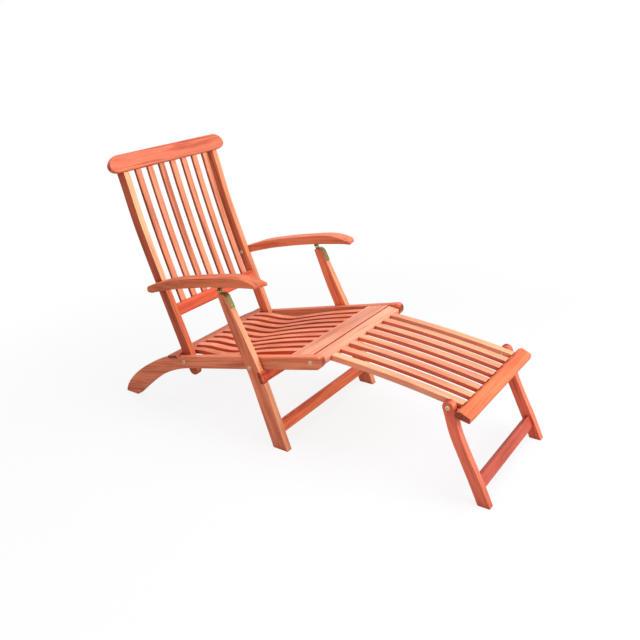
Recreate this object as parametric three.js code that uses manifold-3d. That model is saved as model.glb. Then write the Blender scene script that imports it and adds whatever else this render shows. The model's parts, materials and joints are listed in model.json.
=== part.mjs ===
// Steamer deck chair: a folding hardwood lounger with a hinged leg rest.
// Millimetres, +Z up, +X towards the sitter's feet, +Y to the sitter's left.
import * as THREE from 'three';
import Module from 'manifold-3d';
import { mergeVertices } from 'three/addons/utils/BufferGeometryUtils.js';

const wasm = await Module();
wasm.setup();

// Clearances and small shared sizes
const fitGap = 0.3;
const turnGap = 0.6;
const ease = 1.5;
const weldTolerance = 0.0001;
const cutOverrun = 2;
const tenonLength = 9;
const tenonThickness = 9;
const sides = { right: -1, left: 1 };

// Seat frame: u runs forward along the rails from the back pivot, v is square to it
const seatSlope = THREE.MathUtils.degToRad(13.25);
const backPivotHeight = 210;
const railOuterHalfWidth = 262;
const railThickness = 24;
const railTop = 19;
const railBottom = -25;
const railFrontEnd = 627;
const railNoseRadius = 28;
const railHeelRadius = 15;
const footTopStart = -64;
const footBottomStart = 20;
const footTopReach = 391;
const footSole = 64;
const footBottomReach = footTopReach - footSole;
const footTopHandles = [78, 89];
const footBottomHandles = [146, 106];
const footTopTangent = THREE.MathUtils.degToRad(63);
const footBottomTangent = THREE.MathUtils.degToRad(27);

const rearBoardWidth = 50;
const rearBoardThickness = 12;
const rearBoardTop = 26;
const rearBoardSetback = 5;
const rearBoardOverhang = 2;
const frontBoardRear = 492;
const frontBoardThickness = 18;
const frontBoardTop = 18;
const frontBoardBevel = 6;
const frontTenonRear = 16;
const frontTenonFront = 22;
const seatSlatCount = 9;
const seatSlatWidth = 27;
const seatSlatSideGap = 34;
const seatSlatThickness = 17;
const seatDipTop = 2;
const boardTongueShare = 0.5;
const waveAlongShares = [0.13, 0.26, 0.38, 0.5, 0.68, 0.86];
const waveRiseShares = [0.85, 0.3, 0, 0.3, 0.75, 0.96];

// Back frame: s runs up the chord of the stiles from the back pivot, t forward
const backLean = THREE.MathUtils.degToRad(19);
const stileThickness = 24;
const stileLength = 700;
const stileTail = 62;
const stileTailRadius = 19;
const stileTailAhead = 2;
const stileWidths = [42, 40, 38.5, 39, 38];
const stileCentres = [0, -4.5, -10, -10.5, 0.5];
const stileTopRound = 3;
const stileTongue = 10;
const crestHeight = 62;
const crestThickness = 22;
const crestCentre = 13;
const crestOverhang = 48.6;
const crestShoulder = 48;
const crestEndShares = { handle: 0.4, low: 0.16, middle: 0.42, high: 0.8 };
const lowerBackRailStart = 161;
const lowerBackRailHeight = 44;
const lowerBackRailThickness = 21;
const backSlatCount = 7;
const backSlatWidth = 25;
const backSlatThickness = 12;
const backSlatTongue = 6;
const backSlatLowPoint = 350;
const backSlatLowest = -0.5;

// Arms: x forward and z up from the arm pivot in the stile
const armPivotUp = 284;
const armPivotBack = 11;
const armWidth = 52;
const armTailLength = 25;
const armHingeAlong = 329;
const armHingeRise = 58.5;
const armNoseReach = 507;
const armTopRise = 113;
const armTopAlongShares = [0.108, 0.2075, 0.35, 0.527, 0.656, 0.779, 0.858, 0.91, 0.95, 1];
const armTopRiseShares = [0.263, 0.434, 0.605, 0.776, 0.887, 0.981, 0.998, 0.973, 0.935, 0.88];
const armUnderAlongShares = [0.0355, 0.146, 0.2916, 0.43, 0.5626, 0.697, 0.936, 1];
const armUnderRiseShares = [-0.113, 0.041, 0.2376, 0.391, 0.5197, 0.631, 0.783, 0.79];
const armTailRadius = 15;
const armTailTaper = 12;
const armTailHandleShares = { top: 0.9, low: 1.1, corner: 0.5 };
const armTaperShares = { start: 0.45, middle: 0.2, depth: 0.4 };
const armNoseInnerCut = 14;
const armNoseOuterCut = 9;
const armNoseCutShare = 0.45;

// Front legs: s runs up the leg from its pivot, t forward
const legPivotAhead = 337;
const legPivotAbove = 70;
const legThickness = 24;
const legCentres = [-2, 4.9, 8.5, -0.8, -6.8];
const legWidths = [57, 58, 52.8, 45.5, 33];
const legAnkleShare = 0.85;
const legHingeBack = 13.6;
const legTopBelowHinge = 15;
const legShoulder = 22;
const legShoulderShares = { rise: 0.6, run: 0.4 };
const stopBarHeight = 41;
const stopBarThickness = 14;
const stopBarRound = 5;
const lowerStretcherHeight = 40;
const lowerStretcherThickness = 20;
const lowerStretcherFloorGap = 48;

// Brass arm hinge
const hingeBarrelRadius = 6;
const hingeBoreRadius = 4.2;
const hingePinRadius = 2;
const hingeStrapKnuckleRadius = 4;
const hingeWidth = 20;
const hingeBarrelWidth = 8;
const hingePlate = 2.4;
const hingeLeafAhead = 44;
const hingeLeafBehind = 13;
const hingeStrapDrop = 33;
const strapGap = 0.6;

// Leg rest: u forward from its pivot, v square to it
const legRestPivotAlong = 585;
const legRestSlope = THREE.MathUtils.degToRad(6.4);
const legRestTop = 13;
const legRestRailDepth = 20;
const legRestRailWidth = 28;
const legRestRearRailBehind = 9;
const legRestRearRailFront = 35;
const legRestRearRailDepth = 20;
const legRestCamber = 7;
const legRestSlatCount = 6;
const legRestSlatWidth = 28;
const legRestSlatThickness = 14;
const restTongueBottom = 0;
const restTongueThickness = 6;
const endBoardOverhang = 14.2;
const endBoardClearance = 0.5;
const endBoardRearFace = { along: 6, low: -5, high: 8 };
const endBoardUnder = { along: 6, low: -12.5 };
const endBoardTopCorner = 18;
const endBoardNose = { along: 51.5, high: 2, inset: 1, low: -16 };

// Leg-rest legs: s runs down the leg from its pivot, t forward
const restLegSideGap = 13.2;
const restLegThickness = 24;
const restLegPivotAlong = 450;
const restLegPivotUp = 1;
const restLegLean = THREE.MathUtils.degToRad(22);
const restLegWidths = [37, 34, 34, 36.5, 36.7];
const restLegCentres = [0, -9.5, -7.2, -2.8, -1.3];
const restLegAnkleShare = 0.9;
const restStretcherHeight = 40;
const restStretcherThickness = 18;
const restStretcherFloorGap = 46;

// Brass bolts
const boltRadius = 3;
const boltClearance = 0.4;
const boltHeadRadius = 7.5;
const boltHeadHeight = 4;
const nutRadius = 6.5;
const nutHeight = 5;
const boltHeadShares = { crown: 0.6, dome: 0.8, rim: 0.2 };
const nutShares = { crown: 0.5, side: 0.6 };
const coachBoltGrip = 34;
const roundSteps = 12;

// Derived places
const railInnerHalfWidth = railOuterHalfWidth - railThickness;
const seatSlatHalfSpread = railInnerHalfWidth - seatSlatSideGap;
const stileOuterHalfWidth = railInnerHalfWidth - turnGap;
const stileInnerHalfWidth = stileOuterHalfWidth - stileThickness;
const crestHalfLength = stileOuterHalfWidth + crestOverhang;
const legInnerHalfWidth = railOuterHalfWidth + turnGap;
const legOuterHalfWidth = legInnerHalfWidth + legThickness;
const armInnerHalfWidth = stileOuterHalfWidth + turnGap;
const armCentre = armInnerHalfWidth + armWidth / 2;
const restLegOuterHalfWidth = railInnerHalfWidth - restLegSideGap;
const restLegInnerHalfWidth = restLegOuterHalfWidth - restLegThickness;
const restRailOuterHalfWidth = restLegInnerHalfWidth - turnGap;
const endBoardHalfLength = restLegOuterHalfWidth + endBoardOverhang;
const restRailInnerHalfWidth = restRailOuterHalfWidth - legRestRailWidth;

// Materials, one per mesh
const woodLook = { roughness: 0.5, metalness: 0 };
const brassLook = { roughness: 0.35, metalness: 1 };
const woodTones = ['#c9694a', '#c26045', '#d07350', '#bd5f43', '#cc6c4c'];
let woodCount = 0;

function wood() {
  const tone = woodTones[woodCount % woodTones.length];
  woodCount += 1;
  return new THREE.MeshStandardMaterial({ color: tone, ...woodLook });
}

function brass() {
  return new THREE.MeshStandardMaterial({ color: '#b29a4e', ...brassLook });
}

// Manifold helpers
function solidOf(geometry) {
  const bare = geometry.clone();
  bare.deleteAttribute('normal');
  bare.deleteAttribute('uv');
  const welded = mergeVertices(bare, weldTolerance);
  const vertProperties = new Float32Array(welded.attributes.position.array);
  const triVerts = new Uint32Array(welded.index.array);
  return new wasm.Manifold(new wasm.Mesh({ numProp: 3, vertProperties, triVerts }));
}

function geometryOf(solid) {
  const mesh = solid.getMesh();
  const geometry = new THREE.BufferGeometry();
  geometry.setAttribute('position', new THREE.BufferAttribute(mesh.vertProperties, mesh.numProp));
  geometry.setIndex(new THREE.BufferAttribute(mesh.triVerts, 1));
  geometry.computeVertexNormals();
  return geometry;
}

function cut(geometry, tools) {
  let solid = solidOf(geometry);
  for (const tool of tools) {
    solid = solid.subtract(solidOf(tool));
  }
  return geometryOf(solid);
}

function join(geometry, extras) {
  let solid = solidOf(geometry);
  for (const extra of extras) {
    solid = solid.add(solidOf(extra));
  }
  return geometryOf(solid);
}

function overlapOf(first, second) {
  return geometryOf(solidOf(first).intersect(solidOf(second)));
}

// A smooth value at a share of the way through evenly spaced stations
function stationValue(values, share) {
  const curve = new THREE.SplineCurve(values.map((value) => new THREE.Vector2(0, value)));
  return curve.getPoint(THREE.MathUtils.clamp(share, 0, 1)).y;
}

// Points along one edge of a curved member: its centre line plus or minus half its width
function edgePoints(centre, width, from, to, count, sign) {
  const points = [];
  for (let index = 0; index <= count; index += 1) {
    const s = from + (to - from) * index / count;
    points.push(new THREE.Vector2(centre(s) + sign * width(s) / 2, s));
  }
  return points;
}

// A side-view outline made thick along Y, with eased arrises
function plate(shape, thickness, steps = 4, arris = ease, rounds = 1) {
  const geometry = new THREE.ExtrudeGeometry(shape, {
    depth: thickness - 2 * arris,
    bevelEnabled: arris > 0,
    bevelSize: arris,
    bevelThickness: arris,
    bevelOffset: -arris,
    bevelSegments: rounds,
    curveSegments: steps,
  });
  geometry.translate(0, 0, arris - thickness / 2);
  geometry.rotateX(Math.PI / 2);
  return geometry;
}

// A block given by its limits in the side view and its width along Y
function block(left, right, bottom, top, width, arris = ease) {
  const shape = new THREE.Shape();
  shape.moveTo(left, bottom);
  shape.lineTo(right, bottom);
  shape.lineTo(right, top);
  shape.lineTo(left, top);
  shape.closePath();
  return plate(shape, width, 1, arris);
}

// A member along Y whose four long arrises are eased too
function crossMember(left, right, bottom, top, width) {
  const shape = new THREE.Shape();
  shape.moveTo(left + ease, bottom);
  shape.lineTo(right - ease, bottom);
  shape.lineTo(right, bottom + ease);
  shape.lineTo(right, top - ease);
  shape.lineTo(right - ease, top);
  shape.lineTo(left + ease, top);
  shape.lineTo(left, top - ease);
  shape.lineTo(left, bottom + ease);
  shape.closePath();
  return plate(shape, width, 1, ease / 2);
}

// A tongue added to an outline at one end of a member
function addTongue(shape, edge, reach, bottom, top, rising) {
  const first = rising ? bottom : top;
  const last = rising ? top : bottom;
  shape.lineTo(edge, first);
  shape.lineTo(edge + reach, first);
  shape.lineTo(edge + reach, last);
  shape.lineTo(edge, last);
}

function box(sizeX, sizeY, sizeZ, x, y, z) {
  return new THREE.BoxGeometry(sizeX, sizeY, sizeZ).translate(x, y, z);
}

function drill(x, z, length, y = 0) {
  const tool = new THREE.CylinderGeometry(
    boltRadius + boltClearance, boltRadius + boltClearance, length, roundSteps);
  return tool.translate(x, y, z);
}

function addMesh(parent, name, geometry, material, y = 0) {
  const mesh = new THREE.Mesh(geometry, material);
  mesh.name = name;
  mesh.position.y = y;
  parent.add(mesh);
  return mesh;
}

function frameAt(parent, x, z, angle) {
  const frame = new THREE.Group();
  frame.position.set(x, 0, z);
  frame.rotation.y = angle;
  parent.add(frame);
  return frame;
}

// Bolt along Y: the head's underside is at zero and the shank runs to -grip
function boltGeometry(grip, withNut) {
  const profile = [
    new THREE.Vector2(0, boltHeadHeight),
    new THREE.Vector2(boltHeadRadius * boltHeadShares.crown, boltHeadHeight * boltHeadShares.dome),
    new THREE.Vector2(boltHeadRadius, boltHeadHeight * boltHeadShares.rim),
    new THREE.Vector2(boltHeadRadius, 0),
    new THREE.Vector2(boltRadius, 0),
    new THREE.Vector2(boltRadius, -grip),
  ];
  if (withNut) {
    profile.push(new THREE.Vector2(nutRadius, -grip));
    profile.push(new THREE.Vector2(nutRadius, -grip - nutHeight * nutShares.side));
    profile.push(new THREE.Vector2(nutRadius * nutShares.crown, -grip - nutHeight));
    profile.push(new THREE.Vector2(0, -grip - nutHeight));
  } else {
    profile.push(new THREE.Vector2(0, -grip - boltRadius));
  }
  return new THREE.LatheGeometry(profile.reverse(), roundSteps);
}

function addBolt(parent, name, x, z, headFace, side, grip, withNut, headInward = false) {
  const geometry = boltGeometry(grip + 2 * fitGap, withNut);
  const mesh = addMesh(parent, name, geometry, brass(), 0);
  const outward = headInward ? -side : side;
  mesh.position.set(x, side * headFace + outward * fitGap, z);
  if (outward < 0) {
    mesh.rotation.x = Math.PI;
  }
  return mesh;
}

// Seat side rail with its curved rear foot
function floorLevel(u) {
  return -(backPivotHeight + u * Math.sin(seatSlope)) / Math.cos(seatSlope);
}

function railOutline() {
  const shape = new THREE.Shape();
  const topEnd = new THREE.Vector2(-footTopReach, floorLevel(-footTopReach));
  const bottomEnd = new THREE.Vector2(-footBottomReach, floorLevel(-footBottomReach));
  shape.moveTo(topEnd.x, topEnd.y);
  shape.lineTo(bottomEnd.x, bottomEnd.y);
  shape.bezierCurveTo(
    bottomEnd.x + footBottomHandles[1] * Math.cos(footBottomTangent),
    bottomEnd.y + footBottomHandles[1] * Math.sin(footBottomTangent),
    footBottomStart - footBottomHandles[0], railBottom, footBottomStart, railBottom);
  shape.lineTo(railFrontEnd - railNoseRadius, railBottom);
  shape.absarc(railFrontEnd - railNoseRadius, railBottom + railNoseRadius,
    railNoseRadius, -Math.PI / 2, 0);
  shape.absarc(railFrontEnd - railHeelRadius, railTop - railHeelRadius,
    railHeelRadius, 0, Math.PI / 2);
  shape.lineTo(footTopStart, railTop);
  shape.bezierCurveTo(
    footTopStart - footTopHandles[0], railTop,
    topEnd.x + footTopHandles[1] * Math.cos(footTopTangent),
    topEnd.y + footTopHandles[1] * Math.sin(footTopTangent),
    topEnd.x, topEnd.y);
  return shape;
}

const legPivotLocal = {
  u: legPivotAhead * Math.cos(seatSlope) + legPivotAbove * Math.sin(seatSlope),
  v: -legPivotAhead * Math.sin(seatSlope) + legPivotAbove * Math.cos(seatSlope),
};
const rearBoardLean = backLean - seatSlope;
const rearBoardFront = -(stileWidths[0] / 2 + fitGap) / Math.cos(rearBoardLean)
  - rearBoardTop * Math.tan(rearBoardLean) - rearBoardSetback;
const rearBoardRear = rearBoardFront - rearBoardWidth;
const frontBoardFront = legRestPivotAlong - legRestRearRailBehind - frontBoardBevel / 2;
const boardSpan = 2 * (railInnerHalfWidth - fitGap);
const boardTenon = {
  left: frontBoardRear + frontTenonRear,
  right: frontBoardFront - frontTenonFront,
};

function frontBoardTenons(gap) {
  const middle = frontBoardTop - frontBoardThickness / 2;
  const width = 2 * (railInnerHalfWidth + tenonLength + gap);
  return block(boardTenon.left - gap, boardTenon.right + gap,
    middle - tenonThickness / 2 - gap, middle + tenonThickness / 2 + gap, width, 0);
}

function seatRail(side) {
  const notch = block(rearBoardRear - fitGap, rearBoardFront + fitGap,
    rearBoardTop - rearBoardThickness - fitGap, railTop + cutOverrun,
    railThickness + 2 * cutOverrun, 0);
  const mortise = frontBoardTenons(fitGap);
  mortise.translate(0, -side * (railOuterHalfWidth - railThickness / 2), 0);
  const through = railThickness + 2 * cutOverrun;
  return cut(plate(railOutline(), railThickness, 7), [
    notch,
    mortise,
    drill(0, 0, through),
    drill(legPivotLocal.u, legPivotLocal.v, through),
    drill(legRestPivotAlong, 0, through),
  ]);
}

// Wavy seat slats, their boards and mortises
const rearTongue = {
  bottom: rearBoardTop - rearBoardThickness * (1 + boardTongueShare) / 2,
  top: rearBoardTop - rearBoardThickness * (1 - boardTongueShare) / 2,
};
const frontTongue = {
  bottom: frontBoardTop - frontBoardThickness * (1 + boardTongueShare) / 2,
  top: frontBoardTop - frontBoardThickness * (1 - boardTongueShare) / 2,
};
const slatStart = rearBoardFront + fitGap;
const slatEnd = frontBoardRear - fitGap;
const slatPitch = (2 * seatSlatHalfSpread - seatSlatWidth) / (seatSlatCount - 1);

function slatPlace(index) {
  return -seatSlatHalfSpread + seatSlatWidth / 2 + index * slatPitch;
}

function slatTopPoints() {
  const length = slatEnd - slatStart;
  const points = waveAlongShares.map((share, index) => {
    const high = share < waveAlongShares[2] ? rearBoardTop : frontBoardTop;
    const level = seatDipTop + waveRiseShares[index] * (high - seatDipTop);
    return new THREE.Vector2(slatStart + share * length, level);
  });
  return [new THREE.Vector2(slatStart, rearBoardTop), ...points,
    new THREE.Vector2(slatEnd, frontBoardTop)];
}

function seatSlat() {
  const top = slatTopPoints();
  const under = top.map((point) => new THREE.Vector2(point.x, point.y - seatSlatThickness));
  const shape = new THREE.Shape();
  shape.moveTo(top[0].x, top[0].y);
  shape.splineThru(top.slice(1));
  addTongue(shape, slatEnd, tenonLength, frontTongue.bottom, frontTongue.top, false);
  shape.lineTo(slatEnd, frontBoardTop - seatSlatThickness);
  shape.splineThru(under.reverse().slice(1));
  addTongue(shape, slatStart, -tenonLength, rearTongue.bottom, rearTongue.top, true);
  shape.closePath();
  return plate(shape, seatSlatWidth, 2);
}

function slatMortises(edge, direction, tongue) {
  const tools = [];
  const depth = tenonLength + 2 * fitGap;
  const height = tongue.top - tongue.bottom + 2 * fitGap;
  const middle = (tongue.top + tongue.bottom) / 2;
  for (let index = 0; index < seatSlatCount; index += 1) {
    tools.push(box(depth + cutOverrun, seatSlatWidth + 2 * fitGap, height,
      edge + direction * (depth - cutOverrun) / 2, slatPlace(index), middle));
  }
  return tools;
}

function rearBoard() {
  const body = crossMember(rearBoardRear, rearBoardFront, rearBoardTop - rearBoardThickness,
    rearBoardTop, 2 * (railOuterHalfWidth + rearBoardOverhang));
  return cut(body, slatMortises(rearBoardFront, -1, rearTongue));
}

function frontBoard() {
  const bottom = frontBoardTop - frontBoardThickness;
  const shape = new THREE.Shape();
  shape.moveTo(frontBoardRear, bottom);
  shape.lineTo(frontBoardFront, bottom);
  shape.lineTo(frontBoardFront + frontBoardBevel, frontBoardTop);
  shape.lineTo(frontBoardRear, frontBoardTop);
  shape.closePath();
  const body = join(plate(shape, boardSpan, 1), [frontBoardTenons(0)]);
  return cut(body, slatMortises(frontBoardRear, 1, frontTongue));
}

function addSeat(parent) {
  const seat = frameAt(parent, 0, backPivotHeight, -seatSlope);
  const railCentre = railOuterHalfWidth - railThickness / 2;
  for (const [name, side] of Object.entries(sides)) {
    addMesh(seat, `seat_rail_${name}`, seatRail(side), wood(), side * railCentre);
  }
  addMesh(seat, 'rear_seat_board', rearBoard(), wood());
  addMesh(seat, 'front_seat_board', frontBoard(), wood());
  for (let index = 0; index < seatSlatCount; index += 1) {
    addMesh(seat, `seat_slat_${index + 1}`, seatSlat(), wood(), slatPlace(index));
  }
  for (const [name, side] of Object.entries(sides)) {
    const stileGrip = railOuterHalfWidth - stileInnerHalfWidth;
    addBolt(seat, `back_pivot_bolt_${name}`, 0, 0, railOuterHalfWidth, side, stileGrip, true);
    addBolt(seat, `leg_pivot_bolt_${name}`, legPivotLocal.u, legPivotLocal.v,
      legOuterHalfWidth, side, legOuterHalfWidth - railInnerHalfWidth, true);
    addBolt(seat, `leg_rest_pivot_bolt_${name}`, legRestPivotAlong, 0,
      railOuterHalfWidth, side, railThickness + coachBoltGrip, false);
  }
  return seat;
}

// Back frame
function stileCentre(s) {
  return stationValue(stileCentres, s / stileLength);
}

function stileWidthAt(s) {
  return stationValue(stileWidths, s / stileLength);
}

function stile() {
  const top = stileLength - fitGap;
  const front = edgePoints(stileCentre, stileWidthAt, 0, top, 6, 1);
  const rear = edgePoints(stileCentre, stileWidthAt, top - stileTopRound, 0, 6, -1);
  const tailCentre = stileTailRadius - stileTail;
  const shape = new THREE.Shape();
  shape.absarc(stileTailAhead, tailCentre, stileTailRadius, Math.PI, 2 * Math.PI);
  shape.lineTo(front[0].x, front[0].y);
  shape.splineThru(front.slice(1));
  shape.lineTo(crestCentre + stileTongue / 2, top);
  shape.lineTo(crestCentre + stileTongue / 2, top + tenonLength);
  shape.lineTo(crestCentre - stileTongue / 2, top + tenonLength);
  shape.lineTo(crestCentre - stileTongue / 2, top);
  shape.lineTo(rear[0].x + stileTopRound, top);
  shape.quadraticCurveTo(rear[0].x, top, rear[0].x, rear[0].y);
  shape.splineThru(rear.slice(1));
  shape.closePath();
  const through = stileThickness + 2 * cutOverrun;
  return cut(plate(shape, stileThickness, 2), [
    drill(0, 0, through),
    drill(-armPivotBack, armPivotUp, through),
  ]);
}

const lowerRailMiddle = lowerBackRailStart + lowerBackRailHeight / 2;
const lowerRailFront = stileCentre(lowerRailMiddle) + stileWidthAt(lowerRailMiddle) / 2;
const lowerRailCentre = lowerRailFront - lowerBackRailThickness / 2;
const lowerRailTop = lowerBackRailStart + lowerBackRailHeight;

function lowerRailTenon(gap) {
  const height = lowerBackRailHeight - tenonThickness;
  return block(lowerRailCentre - tenonThickness / 2 - gap, lowerRailCentre + tenonThickness / 2 + gap,
    lowerRailMiddle - height / 2 - gap, lowerRailMiddle + height / 2 + gap,
    2 * (stileInnerHalfWidth + tenonLength) + 2 * gap, 0);
}

const backSlatGap = (2 * stileInnerHalfWidth - backSlatCount * backSlatWidth) / (backSlatCount + 1);

function backSlatPlace(index) {
  return -stileInnerHalfWidth + backSlatGap + backSlatWidth / 2
    + index * (backSlatWidth + backSlatGap);
}

function backSlatMortises(edge, direction, centre) {
  const tools = [];
  const depth = tenonLength + 2 * fitGap;
  for (let index = 0; index < backSlatCount; index += 1) {
    tools.push(box(backSlatTongue + 2 * fitGap, backSlatWidth + 2 * fitGap, depth + cutOverrun,
      centre, backSlatPlace(index), edge + direction * (depth - cutOverrun) / 2));
  }
  return tools;
}

function backSlatCentre(s) {
  const share = (s - backSlatLowPoint) / (stileLength - backSlatLowPoint);
  return backSlatLowest + (crestCentre - backSlatLowest) * share ** 2;
}

function lowerBackRail() {
  const body = crossMember(lowerRailCentre - lowerBackRailThickness / 2, lowerRailFront,
    lowerBackRailStart, lowerRailTop, 2 * (stileInnerHalfWidth - fitGap));
  const mortises = backSlatMortises(lowerRailTop, -1, backSlatCentre(lowerRailTop));
  return cut(join(body, [lowerRailTenon(0)]), mortises);
}

function backSlat() {
  const from = lowerRailTop + fitGap;
  const to = stileLength - fitGap;
  const width = () => backSlatThickness;
  const front = edgePoints(backSlatCentre, width, from, to, 6, 1);
  const rear = edgePoints(backSlatCentre, width, to, from, 6, -1);
  const foot = backSlatCentre(from);
  const half = backSlatTongue / 2;
  const shape = new THREE.Shape();
  shape.moveTo(foot - half, from);
  shape.lineTo(foot - half, from - tenonLength);
  shape.lineTo(foot + half, from - tenonLength);
  shape.lineTo(foot + half, from);
  shape.lineTo(front[0].x, front[0].y);
  shape.splineThru(front.slice(1));
  shape.lineTo(crestCentre + half, to);
  shape.lineTo(crestCentre + half, to + tenonLength);
  shape.lineTo(crestCentre - half, to + tenonLength);
  shape.lineTo(crestCentre - half, to);
  shape.lineTo(rear[0].x, rear[0].y);
  shape.splineThru(rear.slice(1));
  shape.closePath();
  return plate(shape, backSlatWidth, 1, ease / 2);
}

function crestOutline() {
  const top = stileLength + crestHeight;
  const reach = crestHalfLength - crestShoulder;
  const handle = crestHalfLength - crestShoulder * crestEndShares.handle;
  const low = stileLength + crestHeight * crestEndShares.low;
  const middle = stileLength + crestHeight * crestEndShares.middle;
  const high = stileLength + crestHeight * crestEndShares.high;
  const shape = new THREE.Shape();
  shape.moveTo(-reach, stileLength);
  shape.lineTo(reach, stileLength);
  shape.bezierCurveTo(handle, stileLength, crestHalfLength, low, crestHalfLength, middle);
  shape.bezierCurveTo(crestHalfLength, high, handle, top, reach, top);
  shape.lineTo(-reach, top);
  shape.bezierCurveTo(-handle, top, -crestHalfLength, high, -crestHalfLength, middle);
  shape.bezierCurveTo(-crestHalfLength, low, -handle, stileLength, -reach, stileLength);
  return shape;
}

function crestRail() {
  const body = plate(crestOutline(), crestThickness, 6, 2 * ease, 2);
  body.rotateZ(Math.PI / 2);
  body.translate(crestCentre, 0, 0);
  const tools = backSlatMortises(stileLength, 1, crestCentre);
  const depth = tenonLength + 2 * fitGap;
  for (const side of Object.values(sides)) {
    tools.push(box(stileTongue + 2 * fitGap, stileThickness + 2 * fitGap, depth + cutOverrun,
      crestCentre, side * (stileInnerHalfWidth + stileThickness / 2),
      stileLength + (depth - cutOverrun) / 2));
  }
  return cut(body, tools);
}

function addBack(parent) {
  const back = frameAt(parent, 0, backPivotHeight, -backLean);
  const centre = stileInnerHalfWidth + stileThickness / 2;
  for (const [name, side] of Object.entries(sides)) {
    const body = stile();
    const sunk = lowerRailTenon(fitGap).translate(0, -side * centre, 0);
    addMesh(back, `back_stile_${name}`, cut(body, [sunk]), wood(), side * centre);
  }
  addMesh(back, 'crest_rail', crestRail(), wood());
  addMesh(back, 'lower_back_rail', lowerBackRail(), wood());
  for (let index = 0; index < backSlatCount; index += 1) {
    addMesh(back, `back_slat_${index + 1}`, backSlat(), wood(), backSlatPlace(index));
  }
  for (const [name, side] of Object.entries(sides)) {
    addBolt(back, `arm_pivot_bolt_${name}`, -armPivotBack, armPivotUp, stileInnerHalfWidth, side,
      stileThickness + turnGap + coachBoltGrip, false, true);
  }
  return back;
}

// Pivot places in the side view
function turned(x, z, angle) {
  return {
    x: x * Math.cos(angle) + z * Math.sin(angle),
    z: -x * Math.sin(angle) + z * Math.cos(angle),
  };
}

const armOffset = turned(-armPivotBack, armPivotUp, -backLean);
const armPivot = { x: armOffset.x, z: backPivotHeight + armOffset.z };
const hingePoint = { x: armPivot.x + armHingeAlong, z: armPivot.z + armHingeRise };
const legPivot = { x: legPivotAhead, z: backPivotHeight + legPivotAbove };

// Arms
function armSideOutline() {
  const length = armNoseReach + armTailLength;
  const spot = (along, rise) => new THREE.Vector2(
    along * length - armTailLength, rise * armTopRise);
  const top = armTopAlongShares.map((share, index) => spot(share, armTopRiseShares[index]));
  const under = armUnderAlongShares.map((share, index) => spot(share, armUnderRiseShares[index]));
  const end = -armTailLength;
  const corner = end + armTailRadius * armTailHandleShares.corner;
  const shape = new THREE.Shape();
  shape.moveTo(end, 0);
  shape.bezierCurveTo(end, armTailRadius * armTailHandleShares.corner,
    corner, armTailRadius * armTailHandleShares.top, top[0].x, top[0].y);
  shape.splineThru(top.slice(1));
  shape.lineTo(under[under.length - 1].x, under[under.length - 1].y);
  shape.splineThru(under.slice(0, -1).reverse());
  shape.bezierCurveTo(corner, -armTailRadius * armTailHandleShares.low,
    end, -armTailRadius, end, 0);
  return shape;
}

// Plan of the arm: the tail tapers on its outer edge and the corners of the nose are rounded
function armPlan(side) {
  const inner = -side * armWidth / 2;
  const outer = side * armWidth / 2;
  const nose = armNoseReach;
  const points = [
    [-armTailLength - cutOverrun, inner],
    [nose - armNoseInnerCut, inner],
    [nose - armNoseInnerCut * armNoseCutShare, inner + side * armNoseInnerCut * armNoseCutShare],
    [nose + cutOverrun, inner + side * armNoseInnerCut],
    [nose + cutOverrun, outer - side * armNoseOuterCut],
    [nose - armNoseOuterCut * armNoseCutShare, outer - side * armNoseOuterCut * armNoseCutShare],
    [nose - armNoseOuterCut, outer],
    [nose * armTaperShares.start, outer],
    [nose * armTaperShares.middle, outer - side * armTailTaper * armTaperShares.depth],
    [-armTailLength - cutOverrun, outer - side * armTailTaper],
  ];
  const shape = new THREE.Shape(points.map(([x, y]) => new THREE.Vector2(x, y)));
  const height = armTopRise + 4 * armTailRadius;
  const geometry = new THREE.ExtrudeGeometry(shape, { depth: height, bevelEnabled: false });
  return geometry.translate(0, 0, -2 * armTailRadius);
}

function armRest(side) {
  const body = overlapOf(plate(armSideOutline(), armWidth, 2, 2 * ease), armPlan(side));
  const depth = coachBoltGrip + 2 * boltRadius + fitGap;
  const bore = drill(0, 0, depth + cutOverrun, -side * (armWidth - depth + cutOverrun) / 2);
  return cut(body, [bore]);
}

const leafTop = hingeBarrelRadius + hingePlate;

// Leaf screwed under the arm, with the middle barrel of the hinge
function hingeLeaf() {
  const leaf = block(-hingeLeafBehind, hingeLeafAhead, leafTop - hingePlate, leafTop, hingeWidth, 0);
  const barrel = new THREE.CylinderGeometry(
    hingeBarrelRadius, hingeBarrelRadius, hingeBarrelWidth, 2 * roundSteps);
  const web = box(2 * hingePlate, hingeBarrelWidth, hingeBarrelRadius,
    0, 0, hingeBarrelRadius / 2 + hingePlate);
  const bore = new THREE.CylinderGeometry(
    hingeBoreRadius, hingeBoreRadius, hingeWidth, roundSteps);
  return cut(join(leaf, [barrel, web]), [bore]);
}

function addArms(parent) {
  for (const [name, side] of Object.entries(sides)) {
    const arm = frameAt(parent, armPivot.x, armPivot.z, 0);
    const rest = armRest(side);
    const housing = block(-hingeLeafBehind - fitGap, hingeLeafAhead + fitGap,
      -armTopRise, leafTop + fitGap, hingeWidth + 2 * fitGap, 0);
    housing.translate(armHingeAlong, side * (legCentre - armCentre), armHingeRise);
    addMesh(arm, `arm_${name}`, cut(rest, [housing]), wood(), side * armCentre);
    const leaf = addMesh(arm, `arm_hinge_leaf_${name}`, hingeLeaf(), brass(), side * legCentre);
    leaf.position.x = armHingeAlong;
    leaf.position.z = armHingeRise;
  }
}

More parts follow.
